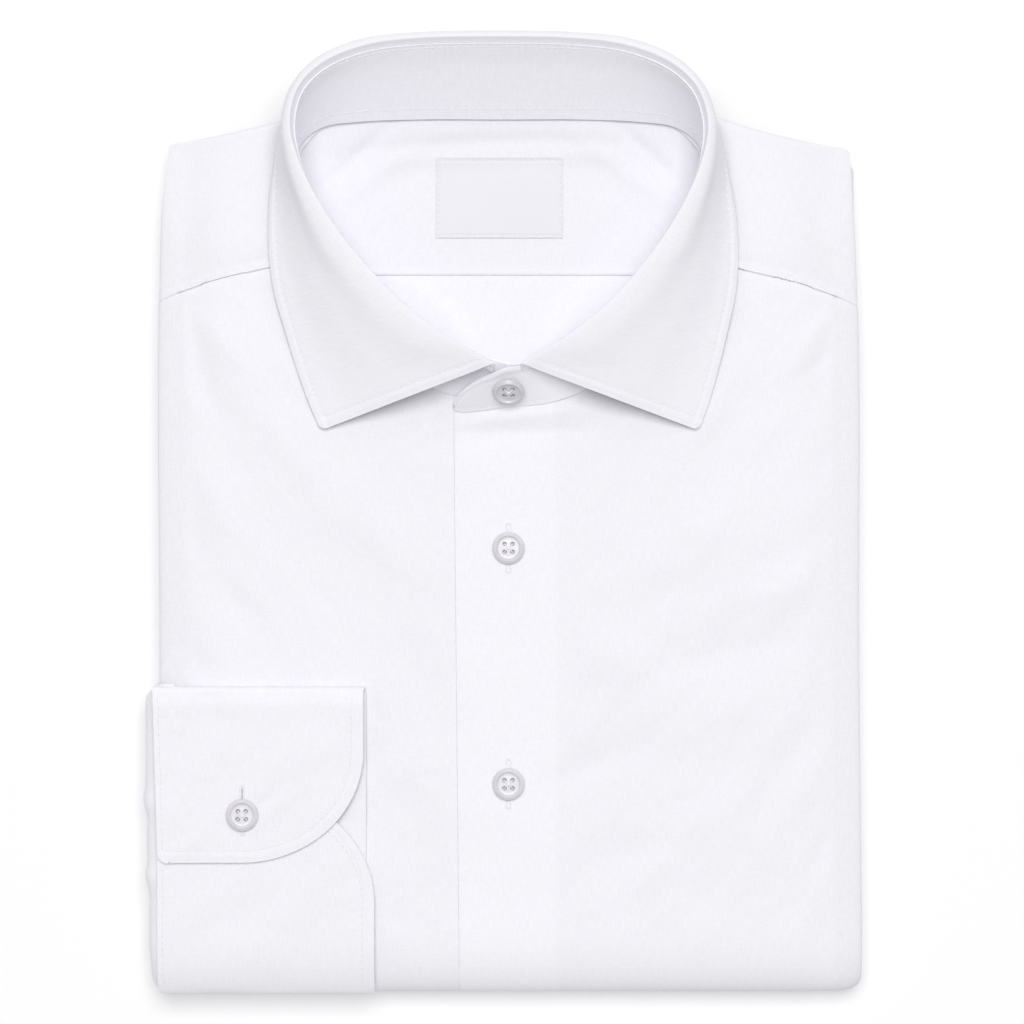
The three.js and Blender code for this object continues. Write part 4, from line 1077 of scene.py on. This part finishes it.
def buildStand():
    across = steps(0, len(standBase) - 1, 0.12)
    along = stations((0, 0.1, 6), (0.1, 0.9, 15), (0.9, 1, 6))
    thick = collar["standThick"]
    stand = makeSheet("collarStand", across, along, standShape, thick, shirting, flip=True, edge=0.4)
    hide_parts("collar_stand")


def buildLeaf():
    end = 0.7     # rows close to each front edge, where the corner is rounded
    far = lastLeaf - end
    across = joinSteps(steps(0, end, 0.04), steps(end, far, 0.14), steps(far, lastLeaf, 0.04))
    along = stations((0, 0.5, 22), (0.5, 0.92, 20), (0.92, 1, 13))
    leaf = makeSheet("collarLeaf", across, along, leafShape, collar["leafThick"], shirting, edge=0.35)
    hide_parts("collar_leaf")


buildStand()
buildLeaf()
print("collar made")

# Sleeve and cuff
sleeveCloth = {
    "thick": 0.6, "fromQ": 1.2, "toQ": 110.0, "bulge": 9.4, "taper": 2.1, "taperTo": 72.0,
    "innerX": -106.0, "rise": 6.2, "topIn": 1.2, "endIn": 4.0,
    "flat": (0.040, 0.106), "area": 0.0038,
}
# place along the sleeve, lift and width
sleeveTucks = [(69, 0.9, 3.0), (61, -0.5, 3.0), (42, 1.0, 3.2), (34, -0.4, 3.0), (18, 0.3, 5.0)]


def sleeveShape(a, b):
    # a: -1 to 0 on the way in below, 0 to pi round the edge, then 1 on top; b: q
    edge = -float(sideEdge(-1, np.array(60.0)))
    centre = body["layerGap"] + float(rollRadius(np.array(0.0)))
    tuck = sum(lift * hump(b, at, wide) for at, lift, wide in sleeveTucks)
    turn = np.clip(a, 0, np.pi)
    wide = sleeveCloth["bulge"] + tuck - sleeveCloth["taper"] * (1 - ramp(b, 0, sleeveCloth["taperTo"]))
    wide = wide - sleeveCloth["endIn"] * smooth(b, sleeveCloth["toQ"] - 7, sleeveCloth["toQ"]) ** 2
    x = edge - wide * np.sin(turn)
    x = np.where(a < 0, between(edge, sleeveCloth["innerX"], -a), x)
    x = np.where(a > np.pi, edge + sleeveCloth["topIn"] * (a - np.pi), x)
    ripple = 0.5 * tuck * np.sin(turn) * hump(turn, 2.2, 0.7)
    points = alongFold(x, b, centre - (sleeveCloth["rise"] + ripple) * np.cos(turn))
    run = np.where(a < 0, a * (edge - sleeveCloth["innerX"]), a * 8.0)
    return points, np.stack([run, b], axis=-1)


def buildSleeve():
    across = stations((-1, 0, 9), (0, np.pi, 33), (np.pi, np.pi + 1, 3))
    foldAt = body["foldReach"]
    along = joinSteps(steps(sleeveCloth["toQ"], foldAt, 1.1), steps(foldAt, sleeveCloth["fromQ"], 1.1))
    piece = makeSheet("sleeveEdge", across, along, sleeveShape, sleeveCloth["thick"], shirting, flip=True)
    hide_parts("sleeve")


cuffCut = {
    "thick": 1.2,
    "levels": {"lowest": 0.45, "under": 2.25, "over": 4.05}, "cloth": 1.5,
    "topQ": 108.6, "bottomQ": 4.2, "overEndQ": 47.1, "underEndQ": 72.0,
    "cornerX": 43.0, "cornerQ": 39.0,
    "right": {"over": -51.3, "lowest": -50.4, "under": -47.5},
    "left": {"over": -125.6, "lowest": -117.4, "under": -124.0},
    "slant": 1.9, "leftCorner": 3.0,     # how far the over layer's left edge moves in toward its end
    "crown": 0.35, "creaseGain": 2.5, "waves": [(24.0, 0.5, 1.9), (12.0, 0.30, 6.1)],
    # painted light brightens the cuff's upper fold
    "button": (-93.9, 64), "buttonCalm": 50, "topFoldPaintedLight": 1.4,
    "stitchIn": 4.2, "stitchLeft": 1.8, "groove": 0.11, "puff": 0.12,
    "flat": (0.078, 0.240), "area": 0.0169,
}
cuffCreases = [
    (-86, 68, 46, 9, 2.2, 1, -0.32),
    (-84, 65, 46, 9, 2.0, 1, 0.22),
    (-112, 92, 72, 14, 4.0, 1, -0.30),
    (-106, 84, 60, 10, 3.4, 0, 0.16),
    (-70, 84, 40, 22, 6.0, 2, 0.22),
    (-100, 26, 30, 22, 6.0, 1, -0.22),
    (-72, 34, 50, 22, 6.0, 2, 0.24),
    (-88, 102.5, 0, 44, 3.6, 0, 0.14),     # the puffed upper fold
    (-112, 54, 40, 9, 4.0, 0, 0.24),
    (-66, 62, 64, 12, 5.0, 1, 0.24),
    (-104, 100, 84, 8, 3.0, 0, -0.16),
]


def cuffLevel(name):
    return body["stackHalf"] + cuffCut["levels"][name] + cuffCut["cloth"] / 2


def roundedRight(name, fromEnd):
    # right edge of a layer, a distance from its rounded end
    t = np.clip(1 - fromEnd / cuffCut["cornerQ"], 0, 1)
    return cuffCut["right"][name] - cuffCut["cornerX"] * (1 - np.sqrt(1 - t * t))


def overLeft(q):
    # left edge of the over layer
    endQ = cuffCut["overEndQ"]
    slant = cuffCut["slant"] * (1 - ramp(q, endQ, cuffCut["topQ"]))
    t = 1 - ramp(q, endQ, endQ + cuffCut["leftCorner"])
    return cuffCut["left"]["over"] + slant + cuffCut["leftCorner"] * (1 - np.sqrt(1 - t * t))


def cuffShape(a, b):
    # a: 0 left to 1 right
    # b: 0-1 under layer down, 1-2 lower fold, 2-3 lowest layer up, 3-4 upper fold, 4-5 over layer
    cut = cuffCut
    lowFold = (cuffLevel("under") - cuffLevel("lowest")) / 2
    highFold = (cuffLevel("over") - cuffLevel("lowest")) / 2
    highQ = cut["topQ"] - highFold
    leg = np.minimum(b.astype(int), 4)
    w = b - leg
    turn = np.pi * w
    qs = [
        between(cut["underEndQ"], cut["bottomQ"], w), cut["bottomQ"] - lowFold * np.sin(turn),
        between(cut["bottomQ"], highQ, w), highQ + highFold * np.sin(turn),
        between(highQ, cut["overEndQ"], w),
    ]
    flatLevel = 0 * w
    heights = [
        flatLevel + cuffLevel("under"), cuffLevel("lowest") + lowFold * (1 + np.cos(turn)),
        flatLevel + cuffLevel("lowest"), cuffLevel("lowest") + highFold * (1 - np.cos(turn)),
        flatLevel + cuffLevel("over"),
    ]
    q = np.choose(leg, qs)
    height = np.choose(leg, heights)
    rightAt = cut["right"]
    rights = [
        roundedRight("under", cut["underEndQ"] - q), between(rightAt["under"], rightAt["lowest"], w),
        flatLevel + rightAt["lowest"], between(rightAt["lowest"], rightAt["over"], w),
        roundedRight("over", q - cut["overEndQ"]),
    ]
    leftAt = cut["left"]
    lefts = [
        flatLevel + leftAt["under"], between(leftAt["under"], leftAt["lowest"], np.minimum(1, 2 * w)),
        flatLevel + leftAt["lowest"], between(leftAt["lowest"], leftAt["over"], smooth(w, 0, 0.3)),
        overLeft(q),
    ]
    left = np.choose(leg, lefts)
    right = np.choose(leg, rights)
    x = between(left, right, a)
    onTop = (leg == 4) | (leg == 0)
    fromEnd = np.where(leg == 4, q - cut["overEndQ"], 99.0)
    cornerX = cut["right"]["over"] - cut["cornerX"]
    cornerQ = cut["overEndQ"] + cut["cornerQ"]
    inCorner = (leg == 4) & (x > cornerX) & (q < cornerQ)
    radial = np.sqrt(((x - cornerX) / cut["cornerX"]) ** 2 + ((q - cornerQ) / cut["cornerQ"]) ** 2)
    rounded = (1 - radial) * (cut["cornerX"] + cut["cornerQ"]) / 2
    fromEdge = np.where(inCorner, rounded, np.minimum(right - x, fromEnd))
    lift = stitchRelief(cut, ((fromEdge, cut["stitchIn"]), (x - left, cut["stitchLeft"])))
    relief = creaseHeight(cuffCreases, x, q) * cut["creaseGain"] + waves(cut["waves"], x, q)
    buttonX, buttonQ = cut["button"]
    calm = 0.9 * np.exp(-((x - buttonX) ** 2 + (q - buttonQ) ** 2) / cut["buttonCalm"])
    crown = cut["crown"] * np.sin(np.pi * w) * np.sin(np.pi * a) * (leg == 4)
    height = height + (lift + (relief + crown) * (1 - calm)) * onTop
    run = np.choose(leg, [-q, -cut["bottomQ"] + 2 * w, q, cut["topQ"] + 3 * w, 2 * cut["topQ"] - q])
    topFoldLight = cut["topFoldPaintedLight"] * smooth(q, 101.5, 104.5)     # painted light along the cuff's upper fold
    return alongFold(x, q, height), np.stack([x, run], axis=-1), topFoldLight


def closingSteps(share, count, endCount):
    # even stations from 0, then finer and finer ones over the last share, up to 1
    fine = 1 - share * (1 - np.linspace(0, 1, endCount)[1:]) ** 1.6
    return np.concatenate([np.linspace(0, 1 - share, count), fine])


def buildCuff():
    across = stations((0, 0.06, 10), (0.06, 0.9, 46), (0.9, 1, 14))
    under = 1 - closingSteps(0.1, 44, 13)[::-1]
    along = joinSteps(under, stations((1, 2, 7), (2, 3, 40), (3, 4, 11)), 4 + closingSteps(0.12, 46, 17))
    piece = makeSheet(
        "cuffFolded", across, along, cuffShape, cuffCut["thick"], shirting, flip=True, offset=0.0, edge=0.35,
    )
    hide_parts("cuff")


buildSleeve()
buildCuff()
print("sleeve and cuff made")

# Hidden folded layers: only their edges show, between the upper and the lower part of the stack
foldedLayers = {
    "levels": [9.55, 10.15, 10.75, 11.35, 11.95],   # underside of each layer
    "thick": 0.42, "left": -119.6, "right": 120.6, "bottom": 13.0, "top": 296.6,
    "sleeveLeft": -104.6, "sleeveTop": 110.0, "wave": 0.5, "setBack": 0.45,
}


def layerOutline(level):
    cut = foldedLayers
    back = cut["setBack"] * (level % 3) + 0.3 * level
    left, right = cut["left"] + back, cut["right"] - back
    top = cut["top"] - back
    corners = [
        (right, cut["bottom"]), (right, top - 8), (right - 4, top - 3), (80, top),
        (-80, top), (left + 4, top - 3), (left, top - 8), (left, cut["sleeveTop"]),
        (cut["sleeveLeft"], cut["sleeveTop"]), (cut["sleeveLeft"], cut["bottom"]),
    ]
    outline = []
    for (x0, y0), (x1, y1) in zip(corners, corners[1:] + corners[:1]):
        count = max(1, round(math.dist((x0, y0), (x1, y1)) / 6))
        for i in range(count):
            x = between(x0, x1, i / count)
            y = between(y0, y1, i / count)
            sway = cut["wave"] * noise.noise(Vector((x / 22, y / 22, level * 3.7)))
            outline.append((x + math.copysign(1, x) * sway, y + sway * (y > 200), cut["levels"][level]))
    return outline


def buildLayers():
    bm = bmesh.new()
    for level in range(len(foldedLayers["levels"])):
        ring = [bm.verts.new(inFrame(np.array(point))) for point in layerOutline(level)]
        face = bm.faces.new(ring)
        face.normal_update()
        if face.normal.z < 0:
            face.normal_flip()
        raised = bmesh.ops.extrude_face_region(bm, geom=[face])
        top = [v for v in raised["geom"] if isinstance(v, bmesh.types.BMVert)]
        bmesh.ops.translate(bm, verts=top, vec=(0, 0, foldedLayers["thick"] * mm))
    bmesh.ops.recalc_face_normals(bm, faces=bm.faces)
    bmesh.ops.triangulate(bm, faces=[f for f in bm.faces if len(f.verts) > 4])
    layer = bm.loops.layers.uv.new("cut")
    for face in bm.faces:
        for loop in face.loops:
            loop[layer].uv = (loop.vert.co.x, loop.vert.co.y + loop.vert.co.z)
    mesh = meshFrom(bm, "foldedLayers")
    mesh.materials.append(shirting)
    piece = addObject("foldedLayers", mesh)
    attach(piece, "root")
    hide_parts("folded_core")


buildLayers()
print("hidden layers made")


# Sewing: each row of stitches follows a path on a piece's own shape
stitch = {"long": 1.75, "pitch": 2.35, "wide": 0.38, "proud": 0.05}


def surfaceFrames(shape, path, small=(0.02, 0.004)):
    a, b = path[:, 0], path[:, 1]
    points = shape(a, b)[0]
    side = shape(a + small[0], b)[0] - shape(a - small[0], b)[0]
    down = shape(a, b + small[1])[0] - shape(a, b - small[1])[0]
    return points, unit(np.cross(side, down))


def evenly(points, pitch):
    run = np.concatenate([[0], np.cumsum(np.linalg.norm(np.diff(points, axis=0), axis=1))])
    count = max(2, int(run[-1] / pitch))
    at = (np.arange(count) + 0.5) * run[-1] / count
    return np.stack([np.interp(at, run, points[:, k]) for k in range(points.shape[1])], axis=1)


def addPod(bm, place, halves, sides=(6, 4)):
    size = Matrix.Diagonal((*(half * mm for half in halves), 1))
    bmesh.ops.create_uvsphere(bm, u_segments=sides[0], v_segments=sides[1], radius=1, matrix=place @ size)


def addStitches(bm, points, normals):
    # a slim pod for each stitch, laid along the row
    halves = (stitch["long"] / 2, stitch["wide"] / 2, stitch["wide"] * 0.4)
    ahead = np.gradient(points, axis=0)
    for point, normal, run in zip(points, normals, ahead):
        x = Vector(run).normalized()
        z = Vector(normal).normalized()
        y = z.cross(x).normalized()
        z = x.cross(y)
        turn = Matrix((x, y, z)).transposed().to_4x4()
        addPod(bm, Matrix.Translation(Vector(inFrame(point))) @ turn, halves)


def finishSewing(name, bm, material=sewingThread):
    bmesh.ops.recalc_face_normals(bm, faces=bm.faces)
    mesh = meshFrom(bm, name)
    mesh.polygons.foreach_set("use_smooth", np.ones(len(mesh.polygons), bool))
    mesh.materials.append(material)
    piece = addObject(name, mesh)
    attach(piece, "root")
    return piece


def sewRow(bm, shape, path, lift, sign=1.0, pitch=stitch["pitch"]):
    points, normals = surfaceFrames(shape, path)
    points = points + normals * sign * lift
    both = evenly(np.concatenate([points, normals * sign], axis=1), pitch)
    addStitches(bm, both[:, :3], both[:, 3:])


def leafStitchPath():
    rows = np.linspace(0, lastLeaf, 500)
    side = np.stack([rows, 1 - leafCut["stitchSide"] / leafEdgeRate(rows)], axis=1)
    front = []
    for share in np.linspace(0.36, 1, 70):
        near = leafPoint(np.array([0.0, 0.3]), np.array([share, share]))
        perRow = np.linalg.norm(near[1] - near[0]) / 0.3
        front.append((leafCut["stitchFront"] / perRow, share))
    front = np.array(front)
    front = front[front[:, 1] < np.interp(front[:, 0], side[:, 0], side[:, 1])]
    corner = front[-1, 0]
    middle = side[(side[:, 0] > corner) & (side[:, 0] < lastLeaf - corner)]
    mirrored = front[::-1].copy()
    mirrored[:, 0] = lastLeaf - mirrored[:, 0]
    return front, middle, mirrored


def standHeight(rows):
    t = rows / (len(standBase) - 1)
    return np.linalg.norm(throughRows(standTop, t) - throughRows(standBase, t), axis=1)


def sewCollar():
    bm = bmesh.new()
    for path in leafStitchPath():
        sewRow(bm, leafShape, path, stitch["proud"])
    last = len(standBase) - 1
    rows = np.linspace(0.3, last - 0.5, 400)
    rows = rows[rows < firstOver]
    inner = collar["standThick"] + stitch["proud"]
    for share in (collar["neckSeam"] / standHeight(rows), 1 - collar["rimSeam"] / standHeight(rows)):
        sewRow(bm, standShape, np.stack([rows, share], axis=1), inner)
    rows = np.linspace(firstOver - 1.5, last - 0.35, 120)
    share = collar["rimSeam"] / standHeight(rows)
    sewRow(bm, standShape, np.stack([rows, share], axis=1), stitch["proud"], -1.0)
    finishSewing("collarStitches", bm)


def sewCuff():
    bm = bmesh.new()
    cut = cuffCut
    inset = cut["stitchIn"]
    surface = cut["thick"] / 2 + stitch["proud"]
    for name, endQ, towards, leg in (("over", cut["overEndQ"], 1, 4), ("under", cut["underEndQ"], -1, 0)):
        right = cut["right"][name]
        angles = np.linspace(0, np.pi / 2, 50)
        x = right - cut["cornerX"] + (cut["cornerX"] - inset) * np.sin(angles)
        q = endQ + towards * (cut["cornerQ"] - (cut["cornerQ"] - inset) * np.cos(angles))
        leftmost = cut["left"][name] + 4.5
        straightX = np.linspace(leftmost, right - cut["cornerX"], 40)[:-1]
        farQ = cut["topQ"] - 4 if name == "over" else 8.0
        straightQ = np.linspace(endQ + towards * cut["cornerQ"], farQ, 40)[1:]
        x = np.concatenate([straightX, x, np.full(len(straightQ), right - inset)])
        q = np.concatenate([np.full(len(straightX), endQ + towards * inset), q, straightQ])
        sewOnCuff(bm, name, leg, x, q, surface)
        if name == "over":
            sideQ = np.linspace(cut["topQ"] - 3, endQ + 4, 60)
            sideX = overLeft(sideQ) + cut["stitchLeft"]
        else:
            sideQ = np.linspace(46, 6, 40)
            sideX = np.full(40, cut["left"]["under"] + cut["stitchLeft"])
        sewOnCuff(bm, name, leg, sideX, sideQ, surface)
    finishSewing("cuffStitches", bm)


def cuffPlace(name, leg, x, q):
    # where on the cuff's own stations a place (x, q) of one layer lies
    cut = cuffCut
    highQ = cut["topQ"] - (cuffLevel("over") - cuffLevel("lowest")) / 2
    if name == "over":
        b = 4 + (highQ - q) / (highQ - cut["overEndQ"])
        right = roundedRight("over", q - cut["overEndQ"])
        left = overLeft(q)
    else:
        b = (cut["underEndQ"] - q) / (cut["underEndQ"] - cut["bottomQ"])
        right = roundedRight("under", cut["underEndQ"] - q)
        left = cut["left"]["under"] + 0 * q
    return np.stack([(x - left) / (right - left), np.clip(b, leg, leg + 0.999)], axis=1)


def sewOnCuff(bm, name, leg, x, q, surface):
    path = cuffPlace(name, leg, x, q)
    sewRow(bm, cuffShape, path, surface, -1.0)


def sewLabel():
    bm = bmesh.new()
    wide = neckLabel["width"] / 2 - neckLabel["stitchIn"]
    high = neckLabel["height"] / 2 - neckLabel["stitchIn"]
    corners = [(-wide, -high), (wide, -high), (wide, high), (-wide, high), (-wide, -high)]
    for (x0, y0), (x1, y1) in zip(corners, corners[1:]):
        path = np.stack([np.linspace(x0, x1, 60), np.linspace(y0, y1, 60)], axis=1)
        sewRow(bm, labelShape, path, stitch["proud"], pitch=neckLabel["stitchPitch"])
    finishSewing("labelStitches", bm)


sewCollar()
sewCuff()
sewLabel()
print("stitches sewn")

# Buttons, with their thread and the buttonholes under them
button = {
    "radius": 5.7, "thick": 2.4, "hole": 0.78, "holeAt": 1.42, "sides": 48,
    # share of the radius and of the thickness, from the middle of the back round the rim to the face
    "profile": [
        (0, 0), (0.70, 0), (0.84, 0.05), (0.95, 0.2), (1.0, 0.40), (0.99, 0.56), (0.95, 0.70),
        (0.90, 0.79), (0.87, 0.86), (0.84, 0.96), (0.80, 1.0), (0.76, 0.97), (0.73, 0.86),
        (0.70, 0.74), (0.66, 0.68), (0.58, 0.66), (0.44, 0.68), (0, 0.70),
    ],
    "thread": 0.22, "threadRise": 0.30, "knot": 0.62,
    "holeLength": 18.4, "holeWidth": 2.3, "slitWidth": 0.45, "barPitch": 0.42, "barWide": 0.30,
}


def buttonSolid():
    bm = bmesh.new()
    radius, thick = button["radius"] * mm, button["thick"] * mm
    rim = [bm.verts.new((r * radius, 0, h * thick)) for r, h in button["profile"]]
    edges = [bm.edges.new(pair) for pair in zip(rim, rim[1:])]
    bmesh.ops.spin(
        bm, geom=rim + edges, axis=(0, 0, 1), cent=(0, 0, 0), steps=button["sides"],
        angle=2 * math.pi, use_merge=True,
    )
    bmesh.ops.remove_doubles(bm, verts=bm.verts, dist=1e-6)
    bmesh.ops.recalc_face_normals(bm, faces=bm.faces)
    return bm


def cutHoles(bm):
    disc = addObject("disc", meshFrom(bm, "disc"))
    bm = bmesh.new()
    at, narrow, thick = button["holeAt"] * mm, button["hole"] * mm, button["thick"] * mm
    for sx in (-1, 1):
        for sy in (-1, 1):
            bmesh.ops.create_cone(
                bm, cap_ends=True, segments=20, radius1=narrow, radius2=narrow * 1.12, depth=thick * 2,
                matrix=Matrix.Translation((sx * at, sy * at, thick / 2)),
            )
    drill = addObject("drill", meshFrom(bm, "drill"))
    cut = disc.modifiers.new("holes", "BOOLEAN")
    cut.object = drill
    cut.operation = "DIFFERENCE"
    cut.solver = "EXACT"
    solid = bpy.data.meshes.new_from_object(disc.evaluated_get(bpy.context.evaluated_depsgraph_get()))
    for item in (disc, drill):
        bpy.data.objects.remove(item)
    return solid


def addStrand(bm, start, end, rise, wide, rings=7):
    # a short thread arched from one place to another
    previous = None
    for i in range(rings):
        t = i / (rings - 1)
        centre = Vector(start).lerp(Vector(end), t) + Vector((0, 0, rise * (1 - (2 * t - 1) ** 2)))
        run = (Vector(end) - Vector(start)).normalized()
        side = Vector((-run.y, run.x, 0)).normalized()
        ring = []
        for k in range(6):
            angle = 2 * math.pi * k / 6
            offset = side * math.cos(angle) * wide / 2 + Vector((0, 0, 1)) * math.sin(angle) * wide / 2
            ring.append(bm.verts.new((centre + offset) * mm))
        if previous:
            for k in range(6):
                bm.faces.new((previous[k], previous[(k + 1) % 6], ring[(k + 1) % 6], ring[k]))
        else:
            bm.faces.new(ring[::-1])
        previous = ring
    bm.faces.new(previous)


def buttonThread():
    bm = bmesh.new()
    at = button["holeAt"]
    face = button["thick"] * 0.5
    for sx, sy in ((1, 1), (1, -1)):
        for shift in (-0.55, 0.55):
            off = Vector((-sy, sx, 0)).normalized() * shift * button["thread"]
            start = Vector((-sx * at, -sy * at, face)) + off
            end = Vector((sx * at, sy * at, face)) + off
            rise = button["threadRise"] + button["thick"] * 0.2 + (0.12 if sy > 0 else 0)
            addStrand(bm, start, end, rise, button["thread"])
    spot = Matrix.Translation((0, 0, (button["thick"] * 0.7 + 0.22) * mm))
    addPod(bm, spot, (button["knot"], button["knot"], 0.3), (12, 8))
    bmesh.ops.recalc_face_normals(bm, faces=bm.faces)
    return meshFrom(bm, "buttonThread")


def placeMesh(name, mesh, place, material):
    mesh = mesh.copy()
    mesh.name = name
    mesh.transform(place)
    mesh.materials.clear()
    mesh.materials.append(material)
    mesh.shade_smooth()
    mesh.set_sharp_from_angle(angle=math.radians(40))
    piece = addObject(name, mesh)
    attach(piece, "root")
    return piece


def buttonholeMesh(name, place, cloth, shift, slitFrom, slitTo):
    # two rows of close stitches beside a slit, with a fan of them at each end, all laid on the cloth below
    surface = BVHTree.FromObject(cloth, bpy.context.evaluated_depsgraph_get())
    centre = place.translation

    def settled(x, y, above):
        spot = Vector((centre.x + x * mm, centre.y + (y + shift) * mm, 0.1))
        met = surface.ray_cast(spot, Vector((0, 0, -1)))[0]
        return Matrix.Translation((spot.x, spot.y, met.z + above * mm))

    bm = bmesh.new()
    half = button["holeLength"] / 2 - button["holeWidth"] / 2
    reach = (button["holeWidth"] + button["slitWidth"]) / 4
    long = (button["holeWidth"] - button["slitWidth"]) / 2
    rows = []
    for side in (-1, 1):
        for y in steps(-half, half, button["barPitch"]):
            rows.append(((side * reach, y), (side, 0)))
    for end in (-1, 1):
        for angle in np.linspace(0, np.pi, 10)[1:-1]:
            heading = (math.cos(angle), end * math.sin(angle))
            rows.append(((heading[0] * reach, end * half + heading[1] * reach), heading))
    for (x, y), (dx, dy) in rows:
        turn = Matrix.Rotation(math.atan2(dy, dx), 4, "Z")
        addPod(bm, settled(x, y, 0.06) @ turn, (long / 2, button["barWide"] / 2, 0.17))
    finishSewing(name + "Stitches", bm)
    # painted shade: dark pods along the slit stand for its shaded gap
    bm = bmesh.new()
    for y in steps(slitFrom, slitTo, 1.0):
        addPod(bm, settled(0, y, 0.0), (button["slitWidth"] / 2, 0.75, 0.06), (8, 4))
    finishSewing(name + "Slit", bm, slitShade)


def buttonPlaces():
    places = {}
    for node in ("front_button_1", "front_button_2", "cuff_button"):
        low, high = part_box(node)
        places[node] = Matrix.Translation(((low.x + high.x) / 2, (low.y + high.y) / 2, low.z))
    low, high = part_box("collar_button")
    base, top = (np.array(point, float) for point in collar["overEnd"][0])
    tilt = math.atan2(top[2] - base[2], top[1] - base[1])
    thickness = Vector((0, -math.sin(tilt), math.cos(tilt))) * button["thick"] * mm / 2
    centre = (low + high) / 2 - thickness
    places["collar_button"] = Matrix.Translation(centre) @ Matrix.Rotation(tilt, 4, "X")
    return places


def buildButtons():
    solid = cutHoles(buttonSolid())
    thread = buttonThread()
    seats = {   # name, cloth, how far the hole is shifted, and where its slit gapes
        "front_button_1": ("buttonholeUpper", "frontOver", 0.0, -5.0, 5.0),
        "front_button_2": ("buttonholeLower", "frontOver", 0.0, -5.0, 5.0),
        "cuff_button": ("buttonholeCuff", "cuffFolded", 1.6, -5.0, 7.2),
    }
    for node, place in buttonPlaces().items():
        words = node.split("_")
        name = words[0] + "".join(word.capitalize() for word in words[1:])
        # painted shade: the collar's button takes the darker resin copy
        resin = shadedResin if node == "collar_button" else buttonResin
        piece = placeMesh(name, solid, place, resin)
        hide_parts(node)
        placeMesh(name + "Thread", thread, place, sewingThread)
        if node in seats:
            holeName, clothName, *gape = seats[node]
            buttonholeMesh(holeName, place, bpy.data.objects[clothName], *gape)


buildButtons()
print("buttons made")
